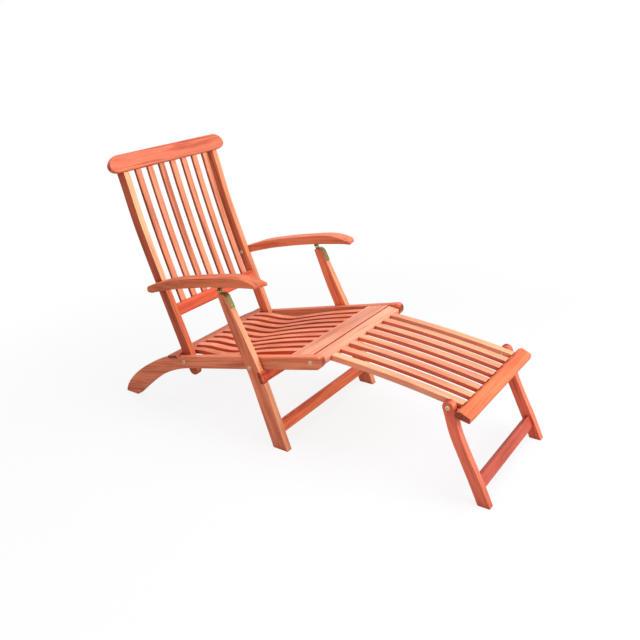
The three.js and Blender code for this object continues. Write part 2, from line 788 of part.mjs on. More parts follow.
// Front legs, in a frame at the leg pivot that leans so that the leg top meets the hinge
const legCentre = legInnerHalfWidth + legThickness / 2;
const hingeReach = Math.hypot(hingePoint.x - legPivot.x, hingePoint.z - legPivot.z);
const hingeAngle = Math.atan2(legPivot.x - hingePoint.x, hingePoint.z - legPivot.z);
const legLean = hingeAngle - Math.asin(legHingeBack / hingeReach);
const hingeUp = Math.sqrt(hingeReach ** 2 - legHingeBack ** 2);
const legTop = hingeUp - legTopBelowHinge;
const legFootCentre = -legPivot.z / Math.cos(legLean);

function legCentreLine(s) {
  return stationValue(legCentres, (s - legFootCentre) / (legTop - legFootCentre));
}

function legWidthAt(s) {
  return stationValue(legWidths, (s - legFootCentre) / (legTop - legFootCentre));
}

function legFloor(t) {
  return -(legPivot.z + t * Math.sin(legLean)) / Math.cos(legLean);
}

function legEdge(sign, from, to, count) {
  return edgePoints(legCentreLine, legWidthAt, from, to, count, sign);
}

function legEdgePoint(sign, s) {
  return legEdge(sign, s, s, 1)[0];
}

function frontLegOutline() {
  const footRear = legEdgePoint(-1, legFootCentre);
  const footFront = legEdgePoint(1, legFootCentre);
  const ankle = legFootCentre * legAnkleShare;
  const front = legEdge(1, ankle, legTop - legShoulder, 6);
  const rear = legEdge(-1, legTop - 2 * ease, ankle, 6);
  const shoulder = front[front.length - 1];
  const shape = new THREE.Shape();
  shape.moveTo(footRear.x, legFloor(footRear.x));
  shape.lineTo(footFront.x, legFloor(footFront.x));
  shape.splineThru(front);
  shape.bezierCurveTo(shoulder.x, shoulder.y + legShoulder * legShoulderShares.rise,
    shoulder.x - legShoulder * legShoulderShares.run, legTop, shoulder.x - legShoulder, legTop);
  shape.lineTo(rear[0].x + 2 * ease, legTop);
  shape.lineTo(rear[0].x, rear[0].y);
  shape.splineThru(rear.slice(1));
  shape.closePath();
  return shape;
}

// The stop bar lies in notches just under the seat rails and bears on them
const railDrop = railBottom - legPivotLocal.v;
const barLean = legLean - seatSlope;
const legFrontEdge = legEdgePoint(1, railDrop - stopBarHeight / 2).x;
const stopBarTop = (railDrop - fitGap + legFrontEdge * Math.sin(-barLean)) / Math.cos(barLean);
const stopBarBottom = stopBarTop - stopBarHeight;
const stopBarRear = legFrontEdge - stopBarThickness;

// The bar's lower arrises are rounded; its notch keeps the rear one and is open in front
function stopBarShape(gap, front, frontRound) {
  const rear = stopBarRear - gap;
  const bottom = stopBarBottom - gap;
  const round = stopBarRound + gap;
  const shape = new THREE.Shape();
  shape.moveTo(rear + round, bottom);
  shape.lineTo(front - frontRound, bottom);
  shape.quadraticCurveTo(front, bottom, front, bottom + frontRound);
  shape.lineTo(front, stopBarTop + gap);
  shape.lineTo(rear, stopBarTop + gap);
  shape.lineTo(rear, bottom + round);
  shape.quadraticCurveTo(rear, bottom, rear + round, bottom);
  return shape;
}

function stopBar() {
  return plate(stopBarShape(0, legFrontEdge, stopBarRound), 2 * legOuterHalfWidth, 3, ease / 2);
}

const stretcherBottom = legFootCentre + lowerStretcherFloorGap;
const stretcherTop = stretcherBottom + lowerStretcherHeight;
const stretcherCentre = legCentreLine((stretcherBottom + stretcherTop) / 2);

function stretcherTenon(gap) {
  return block(stretcherCentre - tenonThickness / 2 - gap, stretcherCentre + tenonThickness / 2 + gap,
    stretcherBottom + tenonThickness - gap, stretcherTop - tenonThickness + gap,
    2 * (legInnerHalfWidth + tenonLength) + 2 * gap, 0);
}

function lowerStretcher() {
  const body = crossMember(stretcherCentre - lowerStretcherThickness / 2,
    stretcherCentre + lowerStretcherThickness / 2, stretcherBottom, stretcherTop,
    2 * (legInnerHalfWidth - fitGap));
  return join(body, [stretcherTenon(0)]);
}

function frontLeg(side) {
  const open = stopBarShape(fitGap, legFrontEdge + 2 * stopBarThickness, stopBarThickness);
  return cut(plate(frontLegOutline(), legThickness, 2), [
    plate(open, legThickness + 2 * cutOverrun, 3, 0),
    drill(0, 0, legThickness + 2 * cutOverrun),
    stretcherTenon(fitGap).translate(0, -side * legCentre, 0),
  ]);
}

// Strap over the leg top and down its front edge, with the outer knuckles
function hingeStrap() {
  const shoulder = legEdgePoint(1, legTop - legShoulder);
  const low = legEdgePoint(1, legTop - legShoulder - hingeStrapDrop);
  const reach = hingePlate + strapGap;
  const rise = shoulder.y + legShoulder * legShoulderShares.rise;
  const turn = shoulder.x - legShoulder * legShoulderShares.run;
  const pin = { t: -legHingeBack, s: hingeUp };
  const shape = new THREE.Shape();
  shape.moveTo(pin.t - hingePlate / 2, pin.s);
  shape.lineTo(pin.t - hingePlate / 2, legTop + strapGap);
  shape.lineTo(shoulder.x - legShoulder, legTop + strapGap);
  shape.bezierCurveTo(turn, legTop + strapGap,
    shoulder.x + strapGap, rise, shoulder.x + strapGap, shoulder.y);
  shape.lineTo(low.x + strapGap, low.y);
  shape.lineTo(low.x + reach, low.y);
  shape.lineTo(shoulder.x + reach, shoulder.y);
  shape.bezierCurveTo(shoulder.x + reach, rise + hingePlate, turn, legTop + reach,
    shoulder.x - legShoulder, legTop + reach);
  shape.lineTo(pin.t + hingePlate / 2, legTop + reach);
  shape.lineTo(pin.t + hingePlate / 2, pin.s);
  shape.closePath();
  const strap = plate(shape, hingeWidth, 6, 0);
  const knuckle = new THREE.CylinderGeometry(
    hingeStrapKnuckleRadius, hingeStrapKnuckleRadius, hingeWidth, roundSteps);
  knuckle.translate(pin.t, 0, pin.s);
  const slotWidth = hingeBarrelWidth + 4 * fitGap;
  const slotRadius = hingeBarrelRadius + hingePlate;
  const slot = new THREE.CylinderGeometry(slotRadius, slotRadius, slotWidth, roundSteps);
  slot.translate(pin.t, 0, pin.s);
  const bore = new THREE.CylinderGeometry(
    hingePinRadius + fitGap, hingePinRadius + fitGap, hingeWidth + cutOverrun, roundSteps);
  bore.translate(pin.t, 0, pin.s);
  return cut(join(strap, [knuckle]), [slot, bore]);
}

function addFrontLegs(parent) {
  const legs = frameAt(parent, legPivot.x, legPivot.z, -legLean);
  for (const [name, side] of Object.entries(sides)) {
    addMesh(legs, `front_leg_${name}`, frontLeg(side), wood(), side * legCentre);
    addMesh(legs, `leg_hinge_strap_${name}`, hingeStrap(), brass(), side * legCentre);
    const pin = new THREE.CylinderGeometry(
      hingePinRadius, hingePinRadius, hingeWidth, roundSteps);
    const mesh = addMesh(legs, `hinge_pin_${name}`, pin, brass(), side * legCentre);
    mesh.position.x = -legHingeBack;
    mesh.position.z = hingeUp;
  }
  addMesh(legs, 'stop_bar', stopBar(), wood());
  addMesh(legs, 'lower_stretcher', lowerStretcher(), wood());
  return legs;
}

// Leg rest panel
const restBottom = legRestTop - legRestRailDepth;
const restLegTilt = restLegLean + legRestSlope;
const restLegHalf = restLegWidths[0] / 2 + fitGap;
const endBoardRear = restLegPivotAlong + restLegHalf * Math.cos(restLegTilt)
  + (restLegPivotUp + restLegHalf * Math.sin(restLegTilt) - endBoardRearFace.low)
  * Math.tan(restLegTilt) + endBoardClearance;

// The end board's rear face leans, and the slat ends are cut to lie along it
const endFaceSlope = endBoardRearFace.along / (endBoardRearFace.high - endBoardRearFace.low);

function endFaceAt(v) {
  return endBoardRear + (v - endBoardRearFace.low) * endFaceSlope;
}

const restSlatGap = (2 * restRailInnerHalfWidth - legRestSlatCount * legRestSlatWidth)
  / (legRestSlatCount + 1);

function restMemberOutline(bottom) {
  const from = legRestRearRailFront + fitGap;
  const gap = fitGap * Math.hypot(1, endFaceSlope);
  const topEnd = endFaceAt(legRestTop) - gap;
  const bottomEnd = endFaceAt(bottom) - gap;
  const middle = (from + bottomEnd) / 2;
  const tongueTop = restTongueBottom + restTongueThickness;
  const shape = new THREE.Shape();
  shape.moveTo(from, legRestTop);
  shape.quadraticCurveTo(middle, legRestTop + 2 * legRestCamber, topEnd, legRestTop);
  shape.lineTo(endFaceAt(tongueTop) - gap, tongueTop);
  shape.lineTo(endFaceAt(tongueTop) + tenonLength, tongueTop);
  shape.lineTo(endFaceAt(tongueTop) + tenonLength, restTongueBottom);
  shape.lineTo(endFaceAt(restTongueBottom) - gap, restTongueBottom);
  shape.lineTo(bottomEnd, bottom);
  shape.quadraticCurveTo(middle, bottom + 2 * legRestCamber, from, bottom);
  addTongue(shape, from, -tenonLength, restTongueBottom, tongueTop, true);
  shape.closePath();
  return shape;
}

function restSlatPlace(index) {
  return -restRailInnerHalfWidth + restSlatGap + legRestSlatWidth / 2
    + index * (legRestSlatWidth + restSlatGap);
}

function restMortises(edge, direction, depth) {
  const x = edge + direction * (depth - cutOverrun) / 2;
  const z = restTongueBottom + restTongueThickness / 2;
  const height = restTongueThickness + 2 * fitGap;
  const tools = [];
  for (let index = 0; index < legRestSlatCount; index += 1) {
    tools.push(box(depth + cutOverrun, legRestSlatWidth + 2 * fitGap, height,
      x, restSlatPlace(index), z));
  }
  for (const side of Object.values(sides)) {
    const y = side * (restRailInnerHalfWidth + legRestRailWidth / 2);
    tools.push(box(depth + cutOverrun, legRestRailWidth + 2 * fitGap, height, x, y, z));
  }
  return tools;
}

function restRearRail() {
  const body = crossMember(-legRestRearRailBehind, legRestRearRailFront,
    legRestTop - legRestRearRailDepth, legRestTop, boardSpan);
  const tools = restMortises(legRestRearRailFront, -1, tenonLength + 2 * fitGap);
  const depth = coachBoltGrip + 2 * boltRadius;
  for (const side of Object.values(sides)) {
    tools.push(drill(0, 0, 2 * depth, side * railInnerHalfWidth));
  }
  return cut(body, tools);
}

function endBoard() {
  const shape = new THREE.Shape();
  const nose = endBoardRear + endBoardNose.along;
  shape.moveTo(endBoardRear, endBoardRearFace.low);
  shape.lineTo(endBoardRear + endBoardUnder.along, endBoardUnder.low);
  shape.lineTo(nose - endBoardNose.inset, endBoardNose.low);
  shape.lineTo(nose, endBoardNose.high);
  shape.lineTo(endBoardRear + endBoardTopCorner, legRestTop);
  shape.lineTo(endFaceAt(endBoardRearFace.high), endBoardRearFace.high);
  shape.closePath();
  const body = plate(shape, 2 * endBoardHalfLength, 1);
  const start = endFaceAt(restTongueBottom);
  const depth = endFaceAt(restTongueBottom + restTongueThickness) - start + tenonLength + 2 * fitGap;
  return cut(body, restMortises(start, 1, depth));
}

function addLegRest(parent) {
  const pivot = turned(legRestPivotAlong, 0, -seatSlope);
  const rest = frameAt(parent, pivot.x, backPivotHeight + pivot.z, legRestSlope);
  addMesh(rest, 'leg_rest_rear_rail', restRearRail(), wood());
  addMesh(rest, 'leg_rest_end_board', endBoard(), wood());
  for (let index = 0; index < legRestSlatCount; index += 1) {
    const slat = plate(restMemberOutline(legRestTop - legRestSlatThickness), legRestSlatWidth, 7);
    addMesh(rest, `leg_rest_slat_${index + 1}`, slat, wood(), restSlatPlace(index));
  }
  for (const [name, side] of Object.entries(sides)) {
    const body = plate(restMemberOutline(restBottom), legRestRailWidth, 7);
    const bore = drill(restLegPivotAlong, restLegPivotUp, legRestRailWidth + 2 * cutOverrun);
    const y = side * (restRailInnerHalfWidth + legRestRailWidth / 2);
    addMesh(rest, `leg_rest_side_rail_${name}`, cut(body, [bore]), wood(), y);
    addBolt(rest, `leg_rest_leg_bolt_${name}`, restLegPivotAlong, restLegPivotUp,
      restLegOuterHalfWidth, side, restLegOuterHalfWidth - restRailInnerHalfWidth, true);
  }
  return rest;
}

// Leg-rest legs
const restPivotInSeat = turned(legRestPivotAlong, 0, -seatSlope);
const restLegOffset = turned(restLegPivotAlong, restLegPivotUp, legRestSlope);
const restLegPivot = {
  x: restPivotInSeat.x + restLegOffset.x,
  z: backPivotHeight + restPivotInSeat.z + restLegOffset.z,
};
const restLegFoot = -restLegPivot.z / Math.cos(restLegLean);

function restLegCentreLine(s) {
  return stationValue(restLegCentres, s / restLegFoot);
}

function restLegWidthAt(s) {
  return stationValue(restLegWidths, s / restLegFoot);
}

function restLegFloor(t) {
  return -(restLegPivot.z + t * Math.sin(restLegLean)) / Math.cos(restLegLean);
}

function restLegOutline() {
  const footRear = edgePoints(restLegCentreLine, restLegWidthAt, restLegFoot, restLegFoot, 1, -1)[0].x;
  const footFront = edgePoints(restLegCentreLine, restLegWidthAt, restLegFoot, restLegFoot, 1, 1)[0].x;
  const ankle = restLegFoot * restLegAnkleShare;
  const front = edgePoints(restLegCentreLine, restLegWidthAt, ankle, 0, 5, 1);
  const rear = edgePoints(restLegCentreLine, restLegWidthAt, 0, ankle, 5, -1);
  const shape = new THREE.Shape();
  shape.moveTo(footRear, restLegFloor(footRear));
  shape.lineTo(footFront, restLegFloor(footFront));
  shape.splineThru(front);
  shape.absarc(0, 0, restLegWidths[0] / 2, 0, Math.PI);
  shape.splineThru(rear.slice(1));
  shape.closePath();
  return shape;
}

const restStretcherLow = restLegFoot + restStretcherFloorGap;
const restStretcherHigh = restStretcherLow + restStretcherHeight;
const restStretcherCentre = restLegCentreLine((restStretcherLow + restStretcherHigh) / 2);

function restStretcherTenon(gap) {
  return block(restStretcherCentre - tenonThickness / 2 - gap,
    restStretcherCentre + tenonThickness / 2 + gap,
    restStretcherLow + tenonThickness - gap, restStretcherHigh - tenonThickness + gap,
    2 * (restLegInnerHalfWidth + tenonLength) + 2 * gap, 0);
}

function addRestLegs(parent) {
  const legs = frameAt(parent, restLegPivot.x, restLegPivot.z, -restLegLean);
  const centre = restLegOuterHalfWidth - restLegThickness / 2;
  for (const [name, side] of Object.entries(sides)) {
    const body = cut(plate(restLegOutline(), restLegThickness, 3), [
      drill(0, 0, restLegThickness + 2 * cutOverrun),
      restStretcherTenon(fitGap).translate(0, -side * centre, 0),
    ]);
    addMesh(legs, `leg_rest_leg_${name}`, body, wood(), side * centre);
  }
  const bar = crossMember(restStretcherCentre - restStretcherThickness / 2,
    restStretcherCentre + restStretcherThickness / 2, restStretcherLow, restStretcherHigh,
    2 * (restLegInnerHalfWidth - fitGap));
  addMesh(legs, 'leg_rest_stretcher', join(bar, [restStretcherTenon(0)]), wood());
  return legs;
}

// Whole chair, centred over its own outline with its feet on the floor
const chair = new THREE.Group();
addSeat(chair);
addBack(chair);
addArms(chair);
addFrontLegs(chair);
addLegRest(chair);
addRestLegs(chair);
chair.updateMatrixWorld(true);
const outline = new THREE.Box3().setFromObject(chair, true);
chair.position.set(-(outline.min.x + outline.max.x) / 2, 0, -outline.min.z);

export default chair;
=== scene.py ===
# %% [markdown]
# # Dressing a steamer deck chair
# The chair is a folding lounger of oiled reddish hardwood with brass bolts and
# brass arm hinges. Its solids were made in CAD, and this lesson gives them the
# eased edges, smooth curves, grain and metal that a camera sees.
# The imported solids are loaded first, so that every new piece can be set to them.

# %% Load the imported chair
import bmesh
import bpy
import json
from math import cos, hypot, pi, radians, sin
from mathutils import Euler, Matrix, Vector


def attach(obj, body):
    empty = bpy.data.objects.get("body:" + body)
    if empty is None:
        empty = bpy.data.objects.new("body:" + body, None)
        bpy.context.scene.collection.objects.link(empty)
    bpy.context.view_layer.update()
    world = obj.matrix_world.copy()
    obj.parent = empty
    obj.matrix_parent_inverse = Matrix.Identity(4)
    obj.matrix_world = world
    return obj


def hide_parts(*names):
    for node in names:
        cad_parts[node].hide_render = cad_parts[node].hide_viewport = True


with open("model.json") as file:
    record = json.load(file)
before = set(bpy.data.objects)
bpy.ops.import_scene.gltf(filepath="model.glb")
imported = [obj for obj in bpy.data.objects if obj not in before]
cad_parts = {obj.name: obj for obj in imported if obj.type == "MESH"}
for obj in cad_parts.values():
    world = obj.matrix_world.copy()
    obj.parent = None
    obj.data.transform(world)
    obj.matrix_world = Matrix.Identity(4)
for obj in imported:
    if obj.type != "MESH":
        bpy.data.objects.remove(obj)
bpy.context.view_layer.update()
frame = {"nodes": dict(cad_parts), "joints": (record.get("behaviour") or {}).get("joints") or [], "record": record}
nodes = frame["nodes"]
print("solids loaded:", len(nodes))

# %% [markdown]
# ## The camera
# The picture was taken from in front of the chair and to the sitter's right,
# from standing height. The lens, the place and the small roll were worked out
# from the pivots and the feet. The matrix is built from the three directions of
# the view, which is surer than turning a camera by eye.

# %% Camera at the viewing angle of the photograph
VIEW_POINT = (1.387768, -1.878754, 1.335890)
VIEW_YAW, VIEW_PITCH, VIEW_ROLL = radians(36.7095), radians(21.3321), radians(-3.2400)
FOCAL_PIXELS, PICTURE_WIDTH, SENSOR_WIDTH = 723.551, 640, 36
PRINCIPAL_POINT = (310.596, 302.515)

ahead = Vector((-sin(VIEW_YAW) * cos(VIEW_PITCH), cos(VIEW_YAW) * cos(VIEW_PITCH), -sin(VIEW_PITCH)))
level = ahead.cross(Vector((0, 0, 1))).normalized()
upright = level.cross(ahead)
across = cos(VIEW_ROLL) * level + sin(VIEW_ROLL) * upright
upward = -sin(VIEW_ROLL) * level + cos(VIEW_ROLL) * upright

lens = bpy.data.cameras.new("photo_lens")
lens.sensor_width = SENSOR_WIDTH
lens.lens = FOCAL_PIXELS / PICTURE_WIDTH * SENSOR_WIDTH
lens.shift_x = 0.5 - PRINCIPAL_POINT[0] / PICTURE_WIDTH
lens.shift_y = PRINCIPAL_POINT[1] / PICTURE_WIDTH - 0.5
camera = bpy.data.objects.new("camera", lens)
bpy.context.scene.collection.objects.link(camera)
camera.matrix_world = Matrix.Translation(VIEW_POINT) @ Matrix((across, upward, -ahead)).transposed().to_4x4()
bpy.context.scene.camera = camera
print("lens", round(lens.lens, 2), "mm, shift", round(lens.shift_x, 4), round(lens.shift_y, 4))

# %% [markdown]
# ## Light, floor and background
# The chair stands on a white studio sweep under large soft lights, which come
# mostly from above and from the front. A large area lamp gives soft shadows, and
# a pale world fills them. The world is white to the camera and in reflections,
# and the floor fades to white for the camera, so neither lights the chair more.
# Every shader node of this lesson is added by one helper, which joins it up.


# %% A helper for shader nodes
def join_up(tree, kind, inputs, **settings):
    """Adds a node, sets its properties, and gives each numbered or named input a link or a value."""
    node = tree.nodes.new("ShaderNode" + kind)
    for key, value in settings.items():
        setattr(node, key, value)
    for key, value in inputs.items():
        if isinstance(value, bpy.types.NodeSocket):
            tree.links.new(value, node.inputs[key])
        else:
            node.inputs[key].default_value = value
    return node


def empty_tree(owner):
    """The node tree of a new material or world, with nothing in it."""
    owner.use_nodes = True
    owner.node_tree.nodes.clear()
    return owner.node_tree


# %% World
WORLD_FILL, FILL_TINT = 0.34, (1.0, 0.985, 0.97, 1)

world = bpy.data.worlds.new("studio")
bpy.context.scene.world = world
tree = empty_tree(world)
path = join_up(tree, "LightPath", {}).outputs
seen = path["Is Camera Ray"]
for ray in ("Is Glossy Ray", "Is Transmission Ray"):
    seen = join_up(tree, "Math", {0: seen, 1: path[ray]}, operation="ADD", use_clamp=True).outputs[0]
fill = join_up(tree, "Background", {"Color": FILL_TINT, "Strength": WORLD_FILL})
white = join_up(tree, "Background", {"Color": (1, 1, 1, 1), "Strength": 1.0})
shown = join_up(tree, "MixShader", {0: seen, 1: fill.outputs[0], 2: white.outputs[0]})
join_up(tree, "OutputWorld", {"Surface": shown.outputs[0]})
print("world with a fill of", WORLD_FILL)


# %% Lamps
LAMP_TARGET = Vector((0, 0, 0.4))


def softbox(name, place, size, watts):
    """A square area lamp that looks at the middle of the chair."""
    light = bpy.data.lights.new(name, "AREA")
    light.shape, light.size, light.energy = "SQUARE", size, watts
    lamp = bpy.data.objects.new(name, light)
    bpy.context.scene.collection.objects.link(lamp)
    toward = LAMP_TARGET - Vector(place)
    lamp.matrix_world = Matrix.Translation(place) @ toward.to_track_quat("-Z", "Y").to_matrix().to_4x4()
    print(name, "of", watts, "W at", place)


softbox("lamp_above", (0.5, 0.3, 3.4), 2.6, 66)
softbox("lamp_front", (3.4, 0.2, 1.7), 2.2, 74)
softbox("lamp_side", (0.4, -3.6, 1.6), 2.2, 26)

# %% Floor that keeps the shadow
FLOOR_SIZE, FLOOR_DROP = 60, 0.0005
PAINT_FOR_LIGHT, PAINT_FOR_CAMERA = (0.55, 0.55, 0.55, 1), (0.93, 0.94, 0.95, 1)
GLOW_STARTS, GLOW_IS_ALL, LEAST_GLOW = 0.9, 2.0, 0.84

bpy.ops.object.select_all(action="DESELECT")
bpy.ops.mesh.primitive_plane_add(size=FLOOR_SIZE, location=(0, 0, -FLOOR_DROP))
floor = bpy.context.object
floor.name = "studio_floor"
floor_finish = bpy.data.materials.new("studio_floor")
tree = empty_tree(floor_finish)
camera_ray = join_up(tree, "LightPath", {}).outputs["Is Camera Ray"]
tint = join_up(tree, "MixRGB", {"Fac": camera_ray, "Color1": PAINT_FOR_LIGHT, "Color2": PAINT_FOR_CAMERA})
paint = join_up(tree, "BsdfDiffuse", {"Color": tint.outputs[0]})
glow = join_up(tree, "Emission", {"Strength": 1.0})
spot = join_up(tree, "TexCoord", {}).outputs["Object"]
away = join_up(tree, "VectorMath", {0: spot}, operation="LENGTH").outputs["Value"]
fade = join_up(tree, "MapRange", {"Value": away, "From Min": GLOW_STARTS, "From Max": GLOW_IS_ALL,
                                  "To Min": LEAST_GLOW}, interpolation_type="SMOOTHSTEP")
share = join_up(tree, "Math", {0: camera_ray, 1: fade.outputs[0]}, operation="MULTIPLY")
both_looks = join_up(tree, "MixShader", {0: share.outputs[0], 1: paint.outputs[0], 2: glow.outputs[0]})
join_up(tree, "OutputMaterial", {"Surface": both_looks.outputs[0]})
floor.data.materials.append(floor_finish)
bpy.context.scene.view_settings.view_transform = "Standard"
print("floor", FLOOR_SIZE, "m wide")

# %% [markdown]
# ## What the wood and the brass are made of
# Oiled hardwood has four things to show: broad streaks and rings, fine fibres,
# short dark pores, and darker, duller end grain where a board is cut across.
# Each could be painted, but noise that is stretched along the grain gives all
# four at their true scale. They go in one shader group with the piece's own
# colours, which also paints the faces turned to one side paler, as painted
# light, and the flanks darker, as painted shade. A second group finds the
# edges of wood and metal alike, which are painted paler, as rubbed wear and
# painted highlight, and a third the corners and gaps, which are painted
# darker, as painted shade.


# %% Helpers for shader groups
def shader_group(name, takes, gives):
    """An empty group with its sockets. Each socket is given as a name, a kind and a default."""
    group = bpy.data.node_groups.new(name, "ShaderNodeTree")
    for way, sockets in (("INPUT", takes), ("OUTPUT", gives)):
        for label, kind, value in sockets:
            socket = group.interface.new_socket(label, in_out=way, socket_type="NodeSocket" + kind)
            if value is not None:
                socket.default_value = value
    return group, group.nodes.new("NodeGroupInput").outputs, group.nodes.new("NodeGroupOutput").inputs


def ranged(tree, value, low, high, to_low=0.0, to_high=1.0):
    """The value with low to high turned into to_low to to_high, and held there."""
    return join_up(tree, "MapRange", {"Value": value, "From Min": low, "From Max": high,
                                      "To Min": to_low, "To Max": to_high}).outputs[0]


def maths(tree, way, *values):
    """A sum, product or other Math of the values."""
    return join_up(tree, "Math", dict(enumerate(values)), operation=way).outputs[0]


def mixed(tree, share, one, two, way="MIX"):
    """Colour one with a share of colour two over it."""
    return join_up(tree, "MixRGB", {"Fac": share, "Color1": one, "Color2": two}, blend_type=way).outputs[0]


def noise(tree, vector, scale, detail, **more):
    """Noise from 0 to 1."""
    inputs = {"Vector": vector, "Scale": scale, "Detail": detail, **more}
    return join_up(tree, "TexNoise", inputs).outputs["Fac"]


def stretched(tree, vector, along, aside):
    """The vector made short along the grain, so that a pattern on it is drawn out."""
    return join_up(tree, "VectorMath", {0: vector, 1: (along, aside, aside)}, operation="MULTIPLY").outputs[0]


# %% Rubbed edges, with painted highlight
EDGE_TURNS, PATCH_SCALE, PATCH_SPAN, LEAST_WEAR = (0.995, 0.80), 38.0, (0.36, 0.62), 0.3

edge_wear_and_highlight, given, gives = shader_group(
    "edge_wear_and_highlight",
    [("Radius", "Float", 0.0016), ("Vector", "Vector", None)],
    [("Mask", "Float", None)])
# The Bevel node finds the edges, which the materials paint paler: partly rubbed wear, partly painted highlight.
rounded = join_up(edge_wear_and_highlight, "Bevel", {"Radius": given["Radius"]}, samples=6).outputs[0]
facing = join_up(edge_wear_and_highlight, "NewGeometry", {}).outputs["Normal"]
match = join_up(edge_wear_and_highlight, "VectorMath", {0: rounded, 1: facing}, operation="DOT_PRODUCT").outputs["Value"]
edge = ranged(edge_wear_and_highlight, match, *EDGE_TURNS)
patches = ranged(edge_wear_and_highlight, noise(edge_wear_and_highlight, given["Vector"], PATCH_SCALE, 3.0), *PATCH_SPAN, LEAST_WEAR)
edge_wear_and_highlight.links.new(maths(edge_wear_and_highlight, "MULTIPLY", edge, patches), gives["Mask"])
print("edge group:", len(edge_wear_and_highlight.nodes), "nodes")

# %% Painted shade in crevices
OPEN_AIR, CLOSED_IN = 0.85, 0.25

crevice_shade, given, gives = shader_group("crevice_shade", [("Distance", "Float", 0.026)], [("Mask", "Float", None)])
# Ambient occlusion finds the gaps and corners, which the materials paint darker: painted shade.
open_sky = join_up(crevice_shade, "AmbientOcclusion", {"Distance": given["Distance"]}, samples=8).outputs["AO"]
crevice_shade.links.new(ranged(crevice_shade, open_sky, OPEN_AIR, CLOSED_IN), gives["Mask"])
print("crevice group:", len(crevice_shade.nodes), "nodes")

# %% Grain of oiled hardwood
STREAKS, RINGS, FIBRES = (3.2, 62.0), (1.1, 30.0), (9.0, 300.0)  # scale along the grain and across it
PORES, CLOUDS = (70.0, 1500.0), (2.5, 9.0)
PLANK_STEP = (3.7, 0.31, 0.0)  # how far a seed of one moves a piece's plank

grain, given, gives = shader_group(
    "hardwood_grain",
    [("Along", "Vector", None), ("Facing", "Vector", None),
     ("Pale", "Color", (0.9, 0.4, 0.25, 1)), ("Deep", "Color", (0.5, 0.12, 0.06, 1)),
     ("End", "Color", (0.42, 0.36, 0.42, 1)), ("Bleached", "Vector", (0.0, 0.0, 0.0)),
     ("Flanks", "Color", (1.0, 1.0, 1.0, 1)), ("Seed", "Float", 0.0)],
    [("Color", "Color", None), ("Roughness", "Float", None), ("Height", "Float", None)])
seeded = join_up(grain, "CombineXYZ", {0: given["Seed"], 1: given["Seed"], 2: 0.0}).outputs[0]
spot = join_up(grain, "VectorMath", {0: seeded, 1: PLANK_STEP, 2: given["Along"]},
               operation="MULTIPLY_ADD").outputs[0]
streaks = noise(grain, stretched(grain, spot, *STREAKS), 1.0, 5.0, Roughness=0.6, Distortion=0.5)
rings = join_up(grain, "TexWave", {"Vector": stretched(grain, spot, *RINGS), "Scale": 1.0, "Distortion": 5.0,
                                   "Detail": 3.0, "Detail Scale": 0.7}, wave_type="RINGS",
                rings_direction="X").outputs["Fac"]
fibres = noise(grain, stretched(grain, spot, *FIBRES), 1.0, 4.0)
pores = noise(grain, stretched(grain, spot, *PORES), 1.0, 1.0)
clouds = noise(grain, stretched(grain, spot, *CLOUDS), 1.0, 2.0)

# %% Grain colours
RING_WEIGHT, FIBRE_WEIGHT, STREAK_RELIEF = 0.20, 1.10, 0.5
CLOUD_SHADES, OILED_ROUGHNESS, SAWN_IS_ROUGHER = (0.80, 1.14), (0.36, 0.58), 0.22
STREAK_SPAN, FIGURE_SPAN, PORE_SPAN, CLOUD_SPAN = (0.34, 0.64), (0.54, 1.40), (0.62, 0.74), (0.3, 0.7)
# Faces turned to either side are painted darker, as painted shade, and faces turned to the lit side are painted paler
# with the colour below, as painted light.
FLANK_FACES, END_FACES, LIT_FACES = (0.55, 0.95), (0.72, 0.96), (0.45, 1.0)  # how far a face turns that way
PORE_DARKNESS, LIGHT_STREAK_SPAN, LIGHT_CLOUD_SPAN, LEAST_LIGHT_SHARE = 0.5, (0.25, 0.62), (0.38, 0.62), 0.35
PAINTED_LIGHT_WOOD = (0.97, 0.61, 0.33, 1)

ringed = maths(grain, "MULTIPLY_ADD", rings, RING_WEIGHT, ranged(grain, streaks, *STREAK_SPAN))
fibred = maths(grain, "MULTIPLY_ADD", fibres, FIBRE_WEIGHT, ringed)
figure = mixed(grain, ranged(grain, fibred, *FIGURE_SPAN), given["Deep"], given["Pale"])
pitted = ranged(grain, pores, *PORE_SPAN, 0.0, PORE_DARKNESS)
pored = mixed(grain, pitted, figure, given["Deep"])
shade = ranged(grain, clouds, *CLOUD_SPAN, *CLOUD_SHADES)
clouded = join_up(grain, "VectorMath", {0: pored, "Scale": shade}, operation="SCALE").outputs[0]
facing = join_up(grain, "SeparateXYZ", {0: given["Facing"]}).outputs
# Painted shade: the faces turned to either side are multiplied by the flank colour.
flank = ranged(grain, maths(grain, "ABSOLUTE", facing["Y"]), *FLANK_FACES)
flanked = mixed(grain, flank, clouded, given["Flanks"], "MULTIPLY")
end_grain = ranged(grain, maths(grain, "ABSOLUTE", facing["X"]), *END_FACES)
sooty = mixed(grain, 1.0, flanked, given["End"], "MULTIPLY")
sawn = mixed(grain, end_grain, flanked, sooty)
